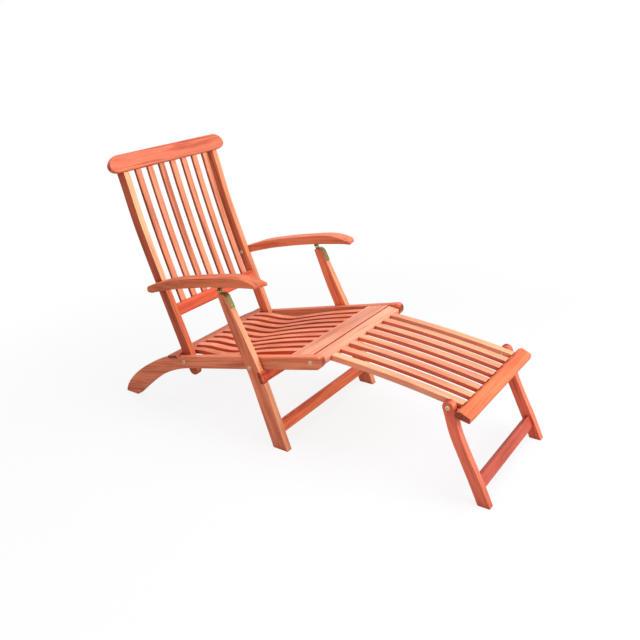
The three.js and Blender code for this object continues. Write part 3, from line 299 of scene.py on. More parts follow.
# Painted light: faces turned toward the given side are mixed toward the pale colour, in patches along the streaks and
# clouds.
toward_light = join_up(grain, "VectorMath", {0: given["Facing"], 1: given["Bleached"]},
                  operation="DOT_PRODUCT").outputs["Value"]
light_patches = maths(grain, "MULTIPLY", ranged(grain, streaks, *LIGHT_STREAK_SPAN, LEAST_LIGHT_SHARE),
              ranged(grain, clouds, *LIGHT_CLOUD_SPAN, LEAST_LIGHT_SHARE))
lightened = maths(grain, "MULTIPLY", ranged(grain, toward_light, *LIT_FACES), light_patches)
dulled = ranged(grain, fibres, 0.0, 1.0, *OILED_ROUGHNESS)
raised = maths(grain, "SUBTRACT", fibres, pitted)
grain.links.new(mixed(grain, lightened, sawn, PAINTED_LIGHT_WOOD), gives["Color"])
grain.links.new(maths(grain, "MULTIPLY_ADD", end_grain, SAWN_IS_ROUGHER, dulled), gives["Roughness"])
grain.links.new(maths(grain, "MULTIPLY_ADD", streaks, STREAK_RELIEF, raised), gives["Height"])
print("hardwood grain group:", len(grain.nodes), "nodes")

# %% [markdown]
# ### One wood for each piece
# Every slat and board was sawn from its own plank, so every piece gets its own
# finish from the same three groups: its own seed, one of eleven tones, and the
# grain turned to run along it. A Mapping node turns the pattern, and a curved
# member keeps straight grain, because it is sawn from a straight board.

# %% Hardwood finish
ALONG_Y = Euler((0, 0, -pi / 2))
WOOD_TONES = {
    "coral": ((0.87, 0.225, 0.122, 1), (0.52, 0.082, 0.036, 1)),
    "tan": ((0.86, 0.262, 0.140, 1), (0.50, 0.096, 0.043, 1)),
    "warm": ((0.86, 0.210, 0.086, 1), (0.46, 0.068, 0.024, 1)),
    "brown": ((0.95, 0.275, 0.135, 1), (0.56, 0.105, 0.046, 1)),
    "red": ((0.90, 0.150, 0.062, 1), (0.54, 0.056, 0.020, 1)),
    "orange": ((0.93, 0.215, 0.082, 1), (0.61, 0.090, 0.031, 1)),
    "lightened": ((0.98, 0.200, 0.110, 1), (0.62, 0.082, 0.040, 1)),
    "crimson": ((0.56, 0.098, 0.058, 1), (0.33, 0.044, 0.027, 1)),
    "rose": ((0.98, 0.300, 0.165, 1), (0.66, 0.122, 0.060, 1)),
    "blush": ((1.00, 0.370, 0.220, 1), (0.78, 0.178, 0.092, 1)),
    "pink": ((0.98, 0.410, 0.260, 1), (0.74, 0.210, 0.125, 1)),
}
END_DARK, END_MIXED, END_PALE = (0.42, 0.36, 0.42, 1), (0.66, 0.52, 0.62, 1), (1.0, 0.95, 1.1, 1)
# The flank colours make the faces turned to either side darker: painted shade.
EVEN, DARK_FLANKS, RED_FLANKS = (1.0, 1.0, 1.0, 1), (0.62, 0.42, 0.36, 1), (0.84, 0.44, 0.34, 1)
DIM_FLANKS, PALE_FLANKS = (0.70, 0.55, 0.58, 1), (0.88, 0.56, 0.47, 1)
NO_LIT_SIDE = (0, 0, 0)
wood_made = []


def new_finish(name):
    """A material with its Principled shader and the places that its patterns read."""
    finish = bpy.data.materials.new(name)
    finish.use_nodes = True
    tree = finish.node_tree
    return finish, tree, tree.nodes["Principled BSDF"].inputs, join_up(tree, "TexCoord", {}).outputs


def grouped(tree, group, **inputs):
    """The outputs of a shader group placed in a material, with its inputs."""
    return join_up(tree, "Group", inputs, node_tree=group).outputs


def lay_on(tree, shader, colour, roughness, height, relief):
    """Joins a finish to its shader. Its relief is given as a strength and a depth in metres."""
    bump = join_up(tree, "Bump", {"Strength": relief[0], "Distance": relief[1], "Height": height})
    for socket, value in (("Base Color", colour), ("Roughness", roughness), ("Normal", bump.outputs[0])):
        tree.links.new(value, shader[socket])


# Edges are painted paler, partly rubbed wear and partly painted highlight; gaps and corners are painted darker, as
# painted shade.
WORN_HIGHLIT_WOOD, WORN_HIGHLIT_SHARE, CREVICE_SHADE_WOOD = (1.0, 0.50, 0.28, 1), 0.45, (0.50, 0.24, 0.18, 1)
# The painted light fades in over this span about its starting height.
SEED_STEP, LIT_RAMP_BELOW, LIT_RAMP_ABOVE = 0.73, 0.02, 0.04
WOOD_RELIEF, WOOD_SPECULAR = (0.35, 0.0006), 0.3


def hardwood(name, turn, tone, lit_toward=NO_LIT_SIDE, end=END_DARK, flanks=EVEN, lit_from=None):
    """The oiled wood of one piece.

    It takes the turn and tone of the grain, the direction of the side painted paler as painted light, the colours that
    the cut ends and the flanks (painted shade) are multiplied by, and the height in metres that the painted light
    starts at.
    """
    finish, tree, shader, places = new_finish(name)
    pale, deep = WOOD_TONES[tone]
    # The painted light comes in above the given height, and the wood below it keeps its darker colour: painted shade.
    if lit_from is not None:
        height = join_up(tree, "SeparateXYZ", {0: places["Object"]}).outputs["Z"]
        above = ranged(tree, height, lit_from - LIT_RAMP_BELOW, lit_from + LIT_RAMP_ABOVE)
        lit_toward = join_up(tree, "VectorMath", {0: lit_toward, "Scale": above}, operation="SCALE").outputs[0]
    along = join_up(tree, "Mapping", {"Vector": places["Object"], "Rotation": turn}).outputs[0]
    facing = join_up(tree, "Mapping", {"Vector": places["Normal"], "Rotation": turn}, vector_type="VECTOR").outputs[0]
    wood = grouped(tree, grain, Along=along, Facing=facing, Pale=pale, Deep=deep, Bleached=lit_toward, End=end,
                   Flanks=flanks, Seed=1.0 + SEED_STEP * len(wood_made))
    # Edges painted paler, as rubbed wear and painted highlight.
    worn_highlit = maths(tree, "MULTIPLY", grouped(tree, edge_wear_and_highlight, Vector=places["Object"])["Mask"], WORN_HIGHLIT_SHARE)
    worn_and_highlit = mixed(tree, worn_highlit, wood["Color"], WORN_HIGHLIT_WOOD)
    crevice_shade_colour = mixed(tree, 1.0, worn_and_highlit, CREVICE_SHADE_WOOD, "MULTIPLY")
    # Gaps and corners are painted darker by the occlusion mask: painted shade.
    oiled = mixed(tree, grouped(tree, crevice_shade)["Mask"], worn_and_highlit, crevice_shade_colour)
    lay_on(tree, shader, oiled, wood["Roughness"], wood["Height"], WOOD_RELIEF)
    shader["Specular IOR Level"].default_value = WOOD_SPECULAR
    wood_made.append(name)
    return finish


# %% [markdown]
# ### Brass
# The bolts and the arm hinges are brass with a tarnish, and the hinges are given
# a darker, olive brass than the bolts. Two noises carry the tarnish and the fine
# scratches. The edge group paints the edges bright, as rubbed metal and painted
# highlight, and the crevice group paints the sockets and slots dark, as painted shade.

# %% Brass finish
# The dark colour of painted shade in sockets and slots, and the bright colour of the edges' rubbed metal and painted
# highlight.
SOCKET_SHADE, WORN_HIGHLIT_BRASS = (0.07, 0.055, 0.02, 1), (1.0, 0.90, 0.62, 1)
HAIRLINES, HAIRLINE_WEIGHT, BRASS_ROUGHNESS = (90.0, 1700.0), 0.25, (0.22, 0.5)
BLOTCH_SCALE, BLOTCH_SPAN = 120.0, (0.34, 0.68)
BRASS_EDGE, BRASS_CORNER, BRASS_RELIEF = 0.0007, 0.003, (0.2, 0.0002)

tarnish, given, gives = shader_group(
    "brass_tarnish",
    [("Vector", "Vector", None), ("Bright", "Color", (0.90, 0.68, 0.30, 1)),
     ("Dull", "Color", (0.33, 0.27, 0.09, 1))],
    [("Color", "Color", None), ("Roughness", "Float", None), ("Height", "Float", None)])
blotches = ranged(tarnish, noise(tarnish, given["Vector"], BLOTCH_SCALE, 4.0, Roughness=0.6), *BLOTCH_SPAN)
hairlines = noise(tarnish, stretched(tarnish, given["Vector"], *HAIRLINES), 1.0, 2.0)
lined = maths(tarnish, "MULTIPLY_ADD", hairlines, HAIRLINE_WEIGHT, blotches)
tarnish.links.new(mixed(tarnish, lined, given["Bright"], given["Dull"]), gives["Color"])
tarnish.links.new(ranged(tarnish, lined, 0.0, 1.0, *BRASS_ROUGHNESS), gives["Roughness"])
tarnish.links.new(hairlines, gives["Height"])
print("brass tarnish group:", len(tarnish.nodes), "nodes")


def brass(name, bright, dull):
    """Brass with the colour of its clean metal and of its tarnish."""
    finish, tree, shader, places = new_finish(name)
    patina = grouped(tree, tarnish, Vector=places["Object"], Bright=bright, Dull=dull)
    # Edges are painted bright, partly rubbed metal and partly painted highlight, and sockets and slots dark, as
    # painted shade.
    worn_highlit = grouped(tree, edge_wear_and_highlight, Radius=BRASS_EDGE, Vector=places["Object"])["Mask"]
    worn_and_highlit_brass = mixed(tree, worn_highlit, patina["Color"], WORN_HIGHLIT_BRASS)
    socket_shaded = mixed(tree, grouped(tree, crevice_shade, Distance=BRASS_CORNER)["Mask"], worn_and_highlit_brass, SOCKET_SHADE)
    lay_on(tree, shader, socket_shaded, patina["Roughness"], patina["Height"], BRASS_RELIEF)
    shader["Metallic"].default_value = 1.0
    return finish


# %% [markdown]
# ## Which way the grain runs
# The lean of each frame of the chair is a real angle, measured in the CAD part.
# The grain of a member follows the frame that it belongs to, and cross rails
# have theirs from side to side.

# %% Grain and tone of each piece
SEAT_SLOPE, BACK_LEAN, LEG_LEAN = radians(13.25), radians(19), radians(20.8075)
REST_SLOPE, REST_LEG_LEAN = radians(-6.4), radians(22)


def rising(angle):
    """The turn that lays the grain along a side member that rises at this angle."""
    return Euler((0, angle, 0))


ARM_RISE_ANGLE = radians(8)
# In an entry, the values after the tone are the side painted paler as painted light, the end-grain colour, the flank
# colour that paints the flanks darker as painted shade, and the height above which the painted light starts.
GRAIN = {
    "seat_rail": (rising(SEAT_SLOPE), "brown"), "rear_seat_board": (ALONG_Y, "warm"),
    "front_seat_board": (ALONG_Y, "pink"),
    "seat_slat": (rising(SEAT_SLOPE), "rose", (0, 0, 0.6), END_DARK, RED_FLANKS),
    "back_stile": (rising(pi / 2 + BACK_LEAN), "warm", (0, 0, -0.70)),
    "back_stile_right": (rising(pi / 2 + BACK_LEAN), "warm", (0, 0, -1.15), END_DARK, DIM_FLANKS, 0.47),
    "crest_rail": (ALONG_Y, "coral", NO_LIT_SIDE, END_MIXED), "lower_back_rail": (ALONG_Y, "red"),
    "back_slat": (rising(pi / 2 + BACK_LEAN), "tan", (0, 0, -0.62), END_DARK, DARK_FLANKS),
    "arm_right": (rising(ARM_RISE_ANGLE), "warm", NO_LIT_SIDE, END_PALE),
    "arm_left": (rising(ARM_RISE_ANGLE), "brown", NO_LIT_SIDE, END_PALE),
    "front_leg": (rising(pi / 2 + LEG_LEAN), "brown", (0, 0, -0.8)),
    "stop_bar": (ALONG_Y, "red"), "lower_stretcher": (ALONG_Y, "orange"),
    "leg_rest_rear_rail": (ALONG_Y, "pink"), "leg_rest_end_board": (ALONG_Y, "orange"),
    "leg_rest_side_rail": (rising(REST_SLOPE), "blush", (0, 0.2, 1.25)),
    "leg_rest_slat": (rising(REST_SLOPE), "blush", (0, 0.5, 0.7), END_DARK, PALE_FLANKS),
    "leg_rest_leg": (rising(pi / 2 + REST_LEG_LEAN), "lightened", (0, 0, -0.6)),
    "leg_rest_stretcher": (ALONG_Y, "crimson"),
}
HINGE_METAL = ((0.40, 0.33, 0.12, 1), (0.22, 0.18, 0.05, 1))
BOLT_METAL = ((1.0, 0.93, 0.70, 1), (0.92, 0.70, 0.36, 1))


def finish_for(node):
    """The material of the piece that stands for this node."""
    if "hinge" in node:
        return brass(node, *HINGE_METAL)
    if "bolt" in node:
        return brass(node, *BOLT_METAL)
    family = max((key for key in GRAIN if node.startswith(key)), key=len)
    return hardwood(node, *GRAIN[family])


# %% [markdown]
# ## A bench for each frame of the chair
# A chairmaker works each part flat on a bench and then hangs it in the chair.
# Here a bench is a turn and a place: x runs forward, z up, and y from side to
# side, all turned with the frame. The places are the pivots of the packed
# record, so the new pieces swing about the same bolts as the solids.

# %% Benches
MM, TINY = 0.001, 1e-6
pivots = {joint["name"]: joint["pos_m"] for joint in frame["joints"]}


def bench(joint, lean):
    """A bench at a joint's pivot, leaning by an angle about y."""
    x, _, z = pivots[joint]
    return Matrix.Translation((x, 0, z)) @ Matrix.Rotation(lean, 4, "Y")


SEAT_BENCH = bench("back_fold", -SEAT_SLOPE)
BACK_BENCH = bench("back_fold", -BACK_LEAN)
ARM_BENCH = bench("right_arm_fold", 0)
LEG_BENCH = bench("front_leg_fold", -LEG_LEAN)
REST_BENCH = bench("leg_rest_swing", -REST_SLOPE)
REST_LEG_BENCH = bench("leg_rest_leg_fold", -REST_LEG_LEAN)
body_of = {node: body for body, members in frame["record"]["behaviour"]["bodies"].items() for node in members}
print("bodies:", sorted(set(body_of.values())))


# %% Picking with one tool in hand
def only(piece):
    """Nothing is selected but this piece."""
    bpy.ops.object.select_all(action="DESELECT")
    piece.select_set(True)
    bpy.context.view_layer.objects.active = piece


def pick(kind, test):
    """In edit mode, selects the vertices, edges or faces that pass a test."""
    bpy.ops.mesh.select_mode(type=kind)
    bpy.ops.mesh.select_all(action="DESELECT")
    mesh = bmesh.from_edit_mesh(bpy.context.edit_object.data)
    for part in {"VERT": mesh.verts, "EDGE": mesh.edges, "FACE": mesh.faces}[kind]:
        if test(part):
            part.select = True
    mesh.select_flush_mode()
    bmesh.update_edit_mesh(bpy.context.edit_object.data)


# %% A sawn blank
def blank(name, low, high):
    """A block of timber between two corners of its bench, in millimetres, ready in edit mode."""
    bpy.ops.object.select_all(action="DESELECT")
    middle = [(a + b) / 2 * MM for a, b in zip(low, high)]
    size = [(b - a) * MM for a, b in zip(low, high)]
    bpy.ops.mesh.primitive_cube_add(size=1, location=middle, scale=size)
    piece = bpy.context.object
    piece.name = name
    bpy.ops.object.transform_apply(location=True, rotation=False, scale=True)
    bpy.ops.object.mode_set(mode="EDIT")
    return piece


def block(name, low, high):
    """The same block, left in object mode."""
    piece = blank(name, low, high)
    bpy.ops.object.mode_set(mode="OBJECT")
    return piece


# %% [markdown]
# ## Curved members
# The rails, stiles, slats, arms and legs were sawn to a pattern from flat stock.
# Extruding a drawn outline would do it, but one long face then runs round every
# curve and shades badly. Here a blank is cut into stations and each station is
# slid to its two points on the pattern, which leaves even strips of faces.
# Rounding its corners and easing its arrises come after, as on the bench.

# %% Sawing to a pattern
ROUGH = 10


def evenly(start, end, count):
    """Evenly spaced values from start to end."""
    return [start + index * (end - start) / (count - 1) for index in range(count)]


def smooth(values, share):
    """A smooth value at a share of the way through evenly spaced values or points."""
    last = len(values) - 1
    spot = min(max(share, 0), 1) * last
    index = min(int(spot), last - 1)
    part = spot - index
    before, here, after, later = (values[min(max(index + step, 0), last)] for step in (-1, 0, 1, 2))
    start, end = (after - before) / 2, (later - here) / 2
    return ((2 * here - 2 * after + start + end) * part ** 3
            + (-3 * here + 3 * after - 2 * start - end) * part ** 2 + start * part + here)


def curve(a, b, c, d, count):
    """Points along a curve from a to d that is drawn towards b and c."""
    return [Vector(a) * (1 - t) ** 3 + Vector(b) * 3 * t * (1 - t) ** 2
            + Vector(c) * 3 * t ** 2 * (1 - t) + Vector(d) * t ** 3 for t in evenly(0, 1, count)]


def saw_to_pattern(run, low_line, high_line, width):
    """A blank cut into stations along x (run 0) or z (run 2), each slid to its two (x, z) in mm, in edit mode."""
    rise, stations = 2 - run, len(low_line)
    low, high = [-ROUGH, -width / 2, -ROUGH], [ROUGH, width / 2, ROUGH]
    low[run], high[run] = low_line[0][run // 2], high_line[-1][run // 2]
    piece = blank("member", low, high)
    pick("EDGE", lambda edge: abs((edge.verts[0].co - edge.verts[1].co)[run]) > TINY)
    bpy.ops.mesh.subdivide(number_cuts=stations - 2)
    points = [v.co.copy() for v in bmesh.from_edit_mesh(piece.data).verts]
    start, end = min(p[run] for p in points), max(p[run] for p in points)
    middle = (min(p[rise] for p in points) + max(p[rise] for p in points)) / 2
    rows = {}
    for index, p in enumerate(points):
        station = round((p[run] - start) / (end - start) * (stations - 1))
        rows.setdefault((station, p[rise] > middle), []).append(index)
    for (station, high), members in rows.items():
        x, z = (high_line if high else low_line)[station]
        here = points[members[0]]
        pick("VERT", lambda vertex: vertex.index in members)
        bpy.ops.transform.translate(value=(x * MM - here.x, 0, z * MM - here.z))
    return piece


# %% Rounding a corner of the pattern
CORNER_REACH = 1.5


def corner_at(x, z):
    """A test for the edges from side to side at a corner of the pattern, in millimetres."""
    def is_there(edge):
        one, two = (v.co for v in edge.verts)
        return abs(one.y - two.y) > TINY and all(
            hypot(v.x / MM - x, v.z / MM - z) < CORNER_REACH for v in (one, two))
    return is_there


def round_corner(x, z, radius, steps=6):
    """Rounds one corner of the side pattern."""
    pick("EDGE", corner_at(x, z))
    bpy.ops.mesh.bevel(offset=radius * MM, segments=steps, affect="EDGES", clamp_overlap=False)


# %% Easing the arrises
WELD = 0.02


def ease(piece, radius, steps=3, sharp=38):
    """Rounds every sharp edge of the piece, as a plane and sandpaper do, and leaves it in object mode."""
    bpy.ops.object.mode_set(mode="EDIT")
    bpy.ops.mesh.select_all(action="SELECT")
    bpy.ops.mesh.remove_doubles(threshold=WELD * MM)
    bpy.ops.mesh.normals_make_consistent(inside=False)
    bpy.ops.object.mode_set(mode="OBJECT")
    only(piece)
    arris = piece.modifiers.new("arris", "BEVEL")
    arris.width, arris.segments, arris.limit_method = radius * MM, steps, "ANGLE"
    arris.angle_limit, arris.use_clamp_overlap = radians(sharp), True
    bpy.ops.object.modifier_apply(modifier=arris.name)


def sawn(run, low_line, high_line, width, corners=(), radius=2.4):
    """A member sawn to its pattern, with some corners (x, z, radius, steps) rounded and its arrises eased."""
    piece = saw_to_pattern(run, low_line, high_line, width)
    for corner in corners:
        round_corner(*corner)
    ease(piece, radius)
    return piece


# %% Setting a finished piece in the chair
SMOOTH_WOOD, SMOOTH_BOLT = 34, 30
pieces_made = []


def dress(piece, finish, body, slot, smooth_up_to=SMOOTH_WOOD):
    """Gives a piece that stands in its place its shading, its material and the body it rides on. The slot is not used.
    """
    only(piece)
    bpy.ops.object.shade_smooth_by_angle(angle=radians(smooth_up_to))
    even = piece.modifiers.new("even", "WEIGHTED_NORMAL")
    even.keep_sharp = True
    bpy.ops.object.modifier_apply(modifier=even.name)
    piece.data.materials.clear()
    piece.data.materials.append(finish)
    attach(piece, body)


def set_in_chair(pattern, place, seats, smooth_up_to=SMOOTH_WOOD):
    """Lays copies of a piece in the chair. A seat is a CAD node and how far the copy moves along y, in mm."""
    for node, aside in seats:
        only(pattern)
        bpy.ops.object.duplicate(linked=False)
        piece = bpy.context.object
        piece.name = piece.data.name = node + "_made"
        piece.matrix_world = place @ Matrix.Translation((0, aside * MM, 0))
        bpy.ops.object.transform_apply(location=True, rotation=True, scale=True)
        dress(piece, finish_for(node), body_of[node], node, smooth_up_to)
        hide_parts(node)
        pieces_made.append(node)
    bpy.data.objects.remove(pattern)
    print("made", [node for node, _ in seats])


SIDES = ((-1, "right"), (1, "left"))


def both(name, centre):
    """The right and left seats of a piece that lies at this distance from the middle."""
    return [(f"{name}_{word}", side * centre) for side, word in SIDES]


def in_a_row(name, count, outermost):
    """The seats of numbered pieces, from the right to the left, the outermost at this distance from the middle."""
    return [(f"{name}_{index}", aside) for index, aside in enumerate(evenly(-outermost, outermost, count), 1)]


def cross_member(node, place, half, rear, front, under, top, radius=2.4):
    """A straight member from side to side: half its length, and its section on the bench, in mm."""
    member = blank(node, (rear, -half, under), (front, half, top))
    ease(member, radius, 4)
    set_in_chair(member, place, [(node, 0)])


def on_floor(x, pivot_height, lean):
    """The point where an edge at x meets the floor, on a leaning bench."""
    return x, -(pivot_height + x * sin(lean)) / cos(lean)


# %% [markdown]
# ### Seat rails
# A rail runs the length of the seat and ends in a curved foot behind. It was cut
# from one wide board, so it is one blank here too: seventeen stations follow the
# foot, and three the straight part. The nose is rounded like a bullet, more
# below than above. The rear board's notch is cut last and stays crisp.

# %% The rail's pattern
RAIL_TOP, RAIL_BOTTOM, RAIL_THICKNESS, RAIL_CENTRE, RAIL_END = 19, -25, 24, 250, 627
PIVOT_HEIGHT, TOE, HEEL, FOOT_STATIONS = 210, -391, -327, 17
TOP_LEVELS_AT, UNDER_LEVELS_AT = -64, 20


def away_from(point, length, degrees):
    """The point at a length and an angle from another one."""
    return point[0] + length * cos(radians(degrees)), point[1] + length * sin(radians(degrees))


toe, heel = (on_floor(x, PIVOT_HEIGHT, SEAT_SLOPE) for x in (TOE, HEEL))
foot_top = curve(toe, away_from(toe, 89, 63), (TOP_LEVELS_AT - 78, RAIL_TOP), (TOP_LEVELS_AT, RAIL_TOP), FOOT_STATIONS)
foot_under = curve(heel, away_from(heel, 106, 27), (UNDER_LEVELS_AT - 146, RAIL_BOTTOM),
                   (UNDER_LEVELS_AT, RAIL_BOTTOM), FOOT_STATIONS)
rail_top = foot_top + [(x, RAIL_TOP) for x in (240, 560, RAIL_END)]
rail_under = foot_under + [(x, RAIL_BOTTOM) for x in (260, 560, RAIL_END)]
print("rail pattern:", len(rail_top), "stations")


# %% Cutting a housing
def cut_out(piece, cutter):
    """Cuts the shape of another object out of a piece."""
    only(piece)
    cut = piece.modifiers.new("cut", "BOOLEAN")
    cut.operation, cut.solver, cut.object = "DIFFERENCE", "EXACT", cutter
    bpy.ops.object.modifier_apply(modifier=cut.name)
    bpy.data.objects.remove(cutter)


def house(piece, low, high):
    """Cuts a square housing, given by two corners of its bench in mm, out of a piece."""
    cut_out(piece, block("cutter", low, high))


# %% Seat rails
BOARD_REAR, BOARD_FRONT, BOARD_TOP, BOARD_UNDER = -79.03, -29.03, 26, 14
HOUSING_FIT, THROUGH, BEYOND = 0.2, 15, 20

rail = sawn(0, rail_under, rail_top, RAIL_THICKNESS, [
    (RAIL_END, RAIL_BOTTOM, 28, 9), (RAIL_END, RAIL_TOP, 15, 6), (*toe, 5, 3), (*heel, 4, 3)], 2.0)
house(rail, (BOARD_REAR - HOUSING_FIT, -THROUGH, BOARD_UNDER), (BOARD_FRONT + HOUSING_FIT, THROUGH, BOARD_TOP + 2))
set_in_chair(rail, SEAT_BENCH, both("seat_rail", RAIL_CENTRE))

# %% [markdown]
# ### Boards and rails across the chair
# These are straight lengths with planed arrises. A blank is stretched to its
# size, one or two of its edges are moved or rounded, and the rest is eased.

# %% Rear and front boards of the seat
BETWEEN_RAILS = RAIL_CENTRE - RAIL_THICKNESS / 2 - 0.3
FRONT_REAR, FRONT_FRONT, FRONT_TOP, FRONT_SLANT = 492, 573, 18, 6

cross_member("rear_seat_board", SEAT_BENCH, 264, BOARD_REAR, BOARD_FRONT, BOARD_UNDER, BOARD_TOP, 2.2)
board = blank("board", (FRONT_REAR, -BETWEEN_RAILS, 0), (FRONT_FRONT, BETWEEN_RAILS, FRONT_TOP))
pick("EDGE", corner_at(FRONT_FRONT, FRONT_TOP))
bpy.ops.transform.translate(value=(FRONT_SLANT * MM, 0, 0))
ease(board, 2.0, 4)
set_in_chair(board, SEAT_BENCH, [("front_seat_board", 0)])

# %% [markdown]
# ### Seat slats
# Nine slats dip under the thighs and rise again before the front board. They
# come from one pattern, so one slat is sawn and eased, and the others are
# copies of it. Each reaches a millimetre into the boards, as a tight joint does.

# %% The wave of a seat slat
SLAT_WIDTH, SLAT_THICKNESS, SLAT_COUNT, SLAT_SPREAD, SLAT_STATIONS = 27, 17, 9, 190.5, 28
slat_start, slat_end = BOARD_FRONT - 1, FRONT_REAR + 1
wave = [Vector((slat_start + share * (slat_end - slat_start), height)) for share, height in (
    (0, 26), (0.13, 22.4), (0.26, 9.2), (0.38, 2), (0.5, 6.8), (0.68, 14), (0.86, 17.36), (1, 18))]
slat_top = [smooth(wave, share) for share in evenly(0, 1, SLAT_STATIONS)]
slat_under = [point - Vector((0, SLAT_THICKNESS)) for point in slat_top]

slat = sawn(0, slat_under, slat_top, SLAT_WIDTH, radius=2.6)
set_in_chair(slat, SEAT_BENCH, in_a_row("seat_slat", SLAT_COUNT, SLAT_SPREAD))

# %% [markdown]
# ## The back frame
# ### Stiles
# The two stiles are gently swept back in the middle, and their round tails
# swing between the seat rails when the back folds. The widths and centres were
# taken along the stile at even steps, so the same smooth curve is read here.

# %% The stile's pattern
STILE_LENGTH, STILE_THICKNESS, STILE_CENTRE, STILE_BEND_TOP, TOP_SLANT = 700, 24, 225.4, 640, 7
STILE_TAIL, TAIL_FRONT, TAIL_REAR, TAIL_RADIUS = 62, 21, -17, 18.9
STILE_WIDTHS, STILE_BOW = (42, 40, 38.5, 39, 38), (0, -4.5, -10, -10.5, 0.5)


def stile_edge(height, way):
    """The front (+1) or rear (-1) edge of a stile at a height on the back bench, as (x, z)."""
    share = height / STILE_LENGTH
    return smooth(STILE_BOW, share) + way * smooth(STILE_WIDTHS, share) / 2, height


heights = evenly(0, STILE_BEND_TOP, 14) + [STILE_LENGTH]
stile_front = [(TAIL_FRONT, -STILE_TAIL)] + [stile_edge(height, 1) for height in heights]
stile_rear = [(TAIL_REAR, -STILE_TAIL)] + [stile_edge(height, -1) for height in heights]
stile_rear[-1] = (stile_rear[-1][0], STILE_LENGTH + TOP_SLANT)
print("stile pattern:", len(stile_front), "stations")

# %% Stiles
stile = sawn(2, stile_rear, stile_front, STILE_THICKNESS, [
    (TAIL_FRONT, -STILE_TAIL, TAIL_RADIUS, 8), (TAIL_REAR, -STILE_TAIL, TAIL_RADIUS, 8), (*stile_rear[-1], 3, 3)])
set_in_chair(stile, BACK_BENCH, both("back_stile", STILE_CENTRE))

# %% [markdown]
# ### Crest rail
# The crest is a board with softly rounded ends, which overhangs both stiles. A
# disc whose halves are drawn apart gives such an outline at once. It is
# extruded to its thickness, its ends are let down a little, and its edges are
# rounded more than on other pieces, because heads and hands rest there.

# %% Crest rail
CREST_HEIGHT, CREST_THICKNESS, CREST_PLACE, CREST_HALF, CREST_END = 62, 22, 13, 286, 48
END_DROP, DROP_REACH = 5, 50

bpy.ops.object.select_all(action="DESELECT")
bpy.ops.mesh.primitive_circle_add(vertices=72, radius=CREST_HEIGHT / 2 * MM, fill_type="NGON",
                                  rotation=(0, pi / 2, 0), location=((CREST_PLACE - CREST_THICKNESS / 2) * MM, 0, 0))
crest = bpy.context.object
crest.name = "crest"
bpy.ops.object.transform_apply(location=True, rotation=True, scale=True)
bpy.ops.object.mode_set(mode="EDIT")
bpy.ops.transform.resize(value=(1, CREST_END / CREST_HEIGHT * 2, 1))
for way in (1, -1):
    pick("VERT", lambda vertex: (vertex.co.y > -TINY) == (way > 0) and abs(vertex.co.y) < CREST_HALF / 2 * MM)
    bpy.ops.transform.translate(value=(0, way * (CREST_HALF - CREST_END) * MM, 0))
bpy.ops.mesh.select_all(action="SELECT")
bpy.ops.mesh.extrude_region_move(TRANSFORM_OT_translate={"value": (CREST_THICKNESS * MM, 0, 0)})
bpy.ops.mesh.select_all(action="SELECT")
bpy.ops.transform.translate(value=(0, 0, (STILE_LENGTH + CREST_HEIGHT / 2) * MM))
for way in (1, -1):
    pick("VERT", lambda vertex: way * vertex.co.y > (CREST_HALF - 1) * MM)
    bpy.ops.transform.translate(value=(0, 0, -END_DROP * MM), use_proportional_edit=True,
                                proportional_edit_falloff="SMOOTH", proportional_size=DROP_REACH * MM)
ease(crest, 5.5, 5)
set_in_chair(crest, BACK_BENCH, [("crest_rail", 0)])

# %% [markdown]
# ### Lower back rail and back slats
# The rail lies flush with the front of the stiles. The seven slats bend a
# little towards the crest, so their pattern is a slow curve of even thickness.

# %% Lower back rail
RAIL_FOOT, RAIL_HEAD, RAIL_DEPTH = 161, 205, 21
STILE_INNER = STILE_CENTRE - STILE_THICKNESS / 2
rail_front = stile_edge((RAIL_FOOT + RAIL_HEAD) / 2, 1)[0]
cross_member("lower_back_rail", BACK_BENCH, STILE_INNER + 0.2, rail_front - RAIL_DEPTH, rail_front,
             RAIL_FOOT, RAIL_HEAD)

# %% Back slats
SLAT_DEPTH, BACK_SLATS, BACK_SLAT_WIDTH = 12, 7, 25
SLAT_BACK, BEND_FROM = -0.5, 350


def back_slat_middle(height):
    """Where the middle of a back slat lies on the bench: it curves forward to the crest."""
    return SLAT_BACK + (CREST_PLACE - SLAT_BACK) * ((height - BEND_FROM) / (STILE_LENGTH - BEND_FROM)) ** 2


slat_rear, slat_front = ([(back_slat_middle(z) + way * SLAT_DEPTH / 2, z)
                          for z in evenly(RAIL_HEAD - 1, STILE_LENGTH + 1, 17)] for way in (-1, 1))
gap = (2 * STILE_INNER - BACK_SLATS * BACK_SLAT_WIDTH) / (BACK_SLATS + 1)
slat = sawn(2, slat_rear, slat_front, BACK_SLAT_WIDTH, radius=2.2)
set_in_chair(slat, BACK_BENCH, in_a_row("back_slat", BACK_SLATS, STILE_INNER - gap - BACK_SLAT_WIDTH / 2))

# %% [markdown]
# ## Arms
# An arm is the most shaped piece of the chair. From the side it rises from the
# stile, bows over the hinge and drops at the nose. From above, its tail is
# narrowed on the outside and its nose corners are cut off. It is sawn to the
# side pattern first, and the plan is cut into that, as a chairmaker would.

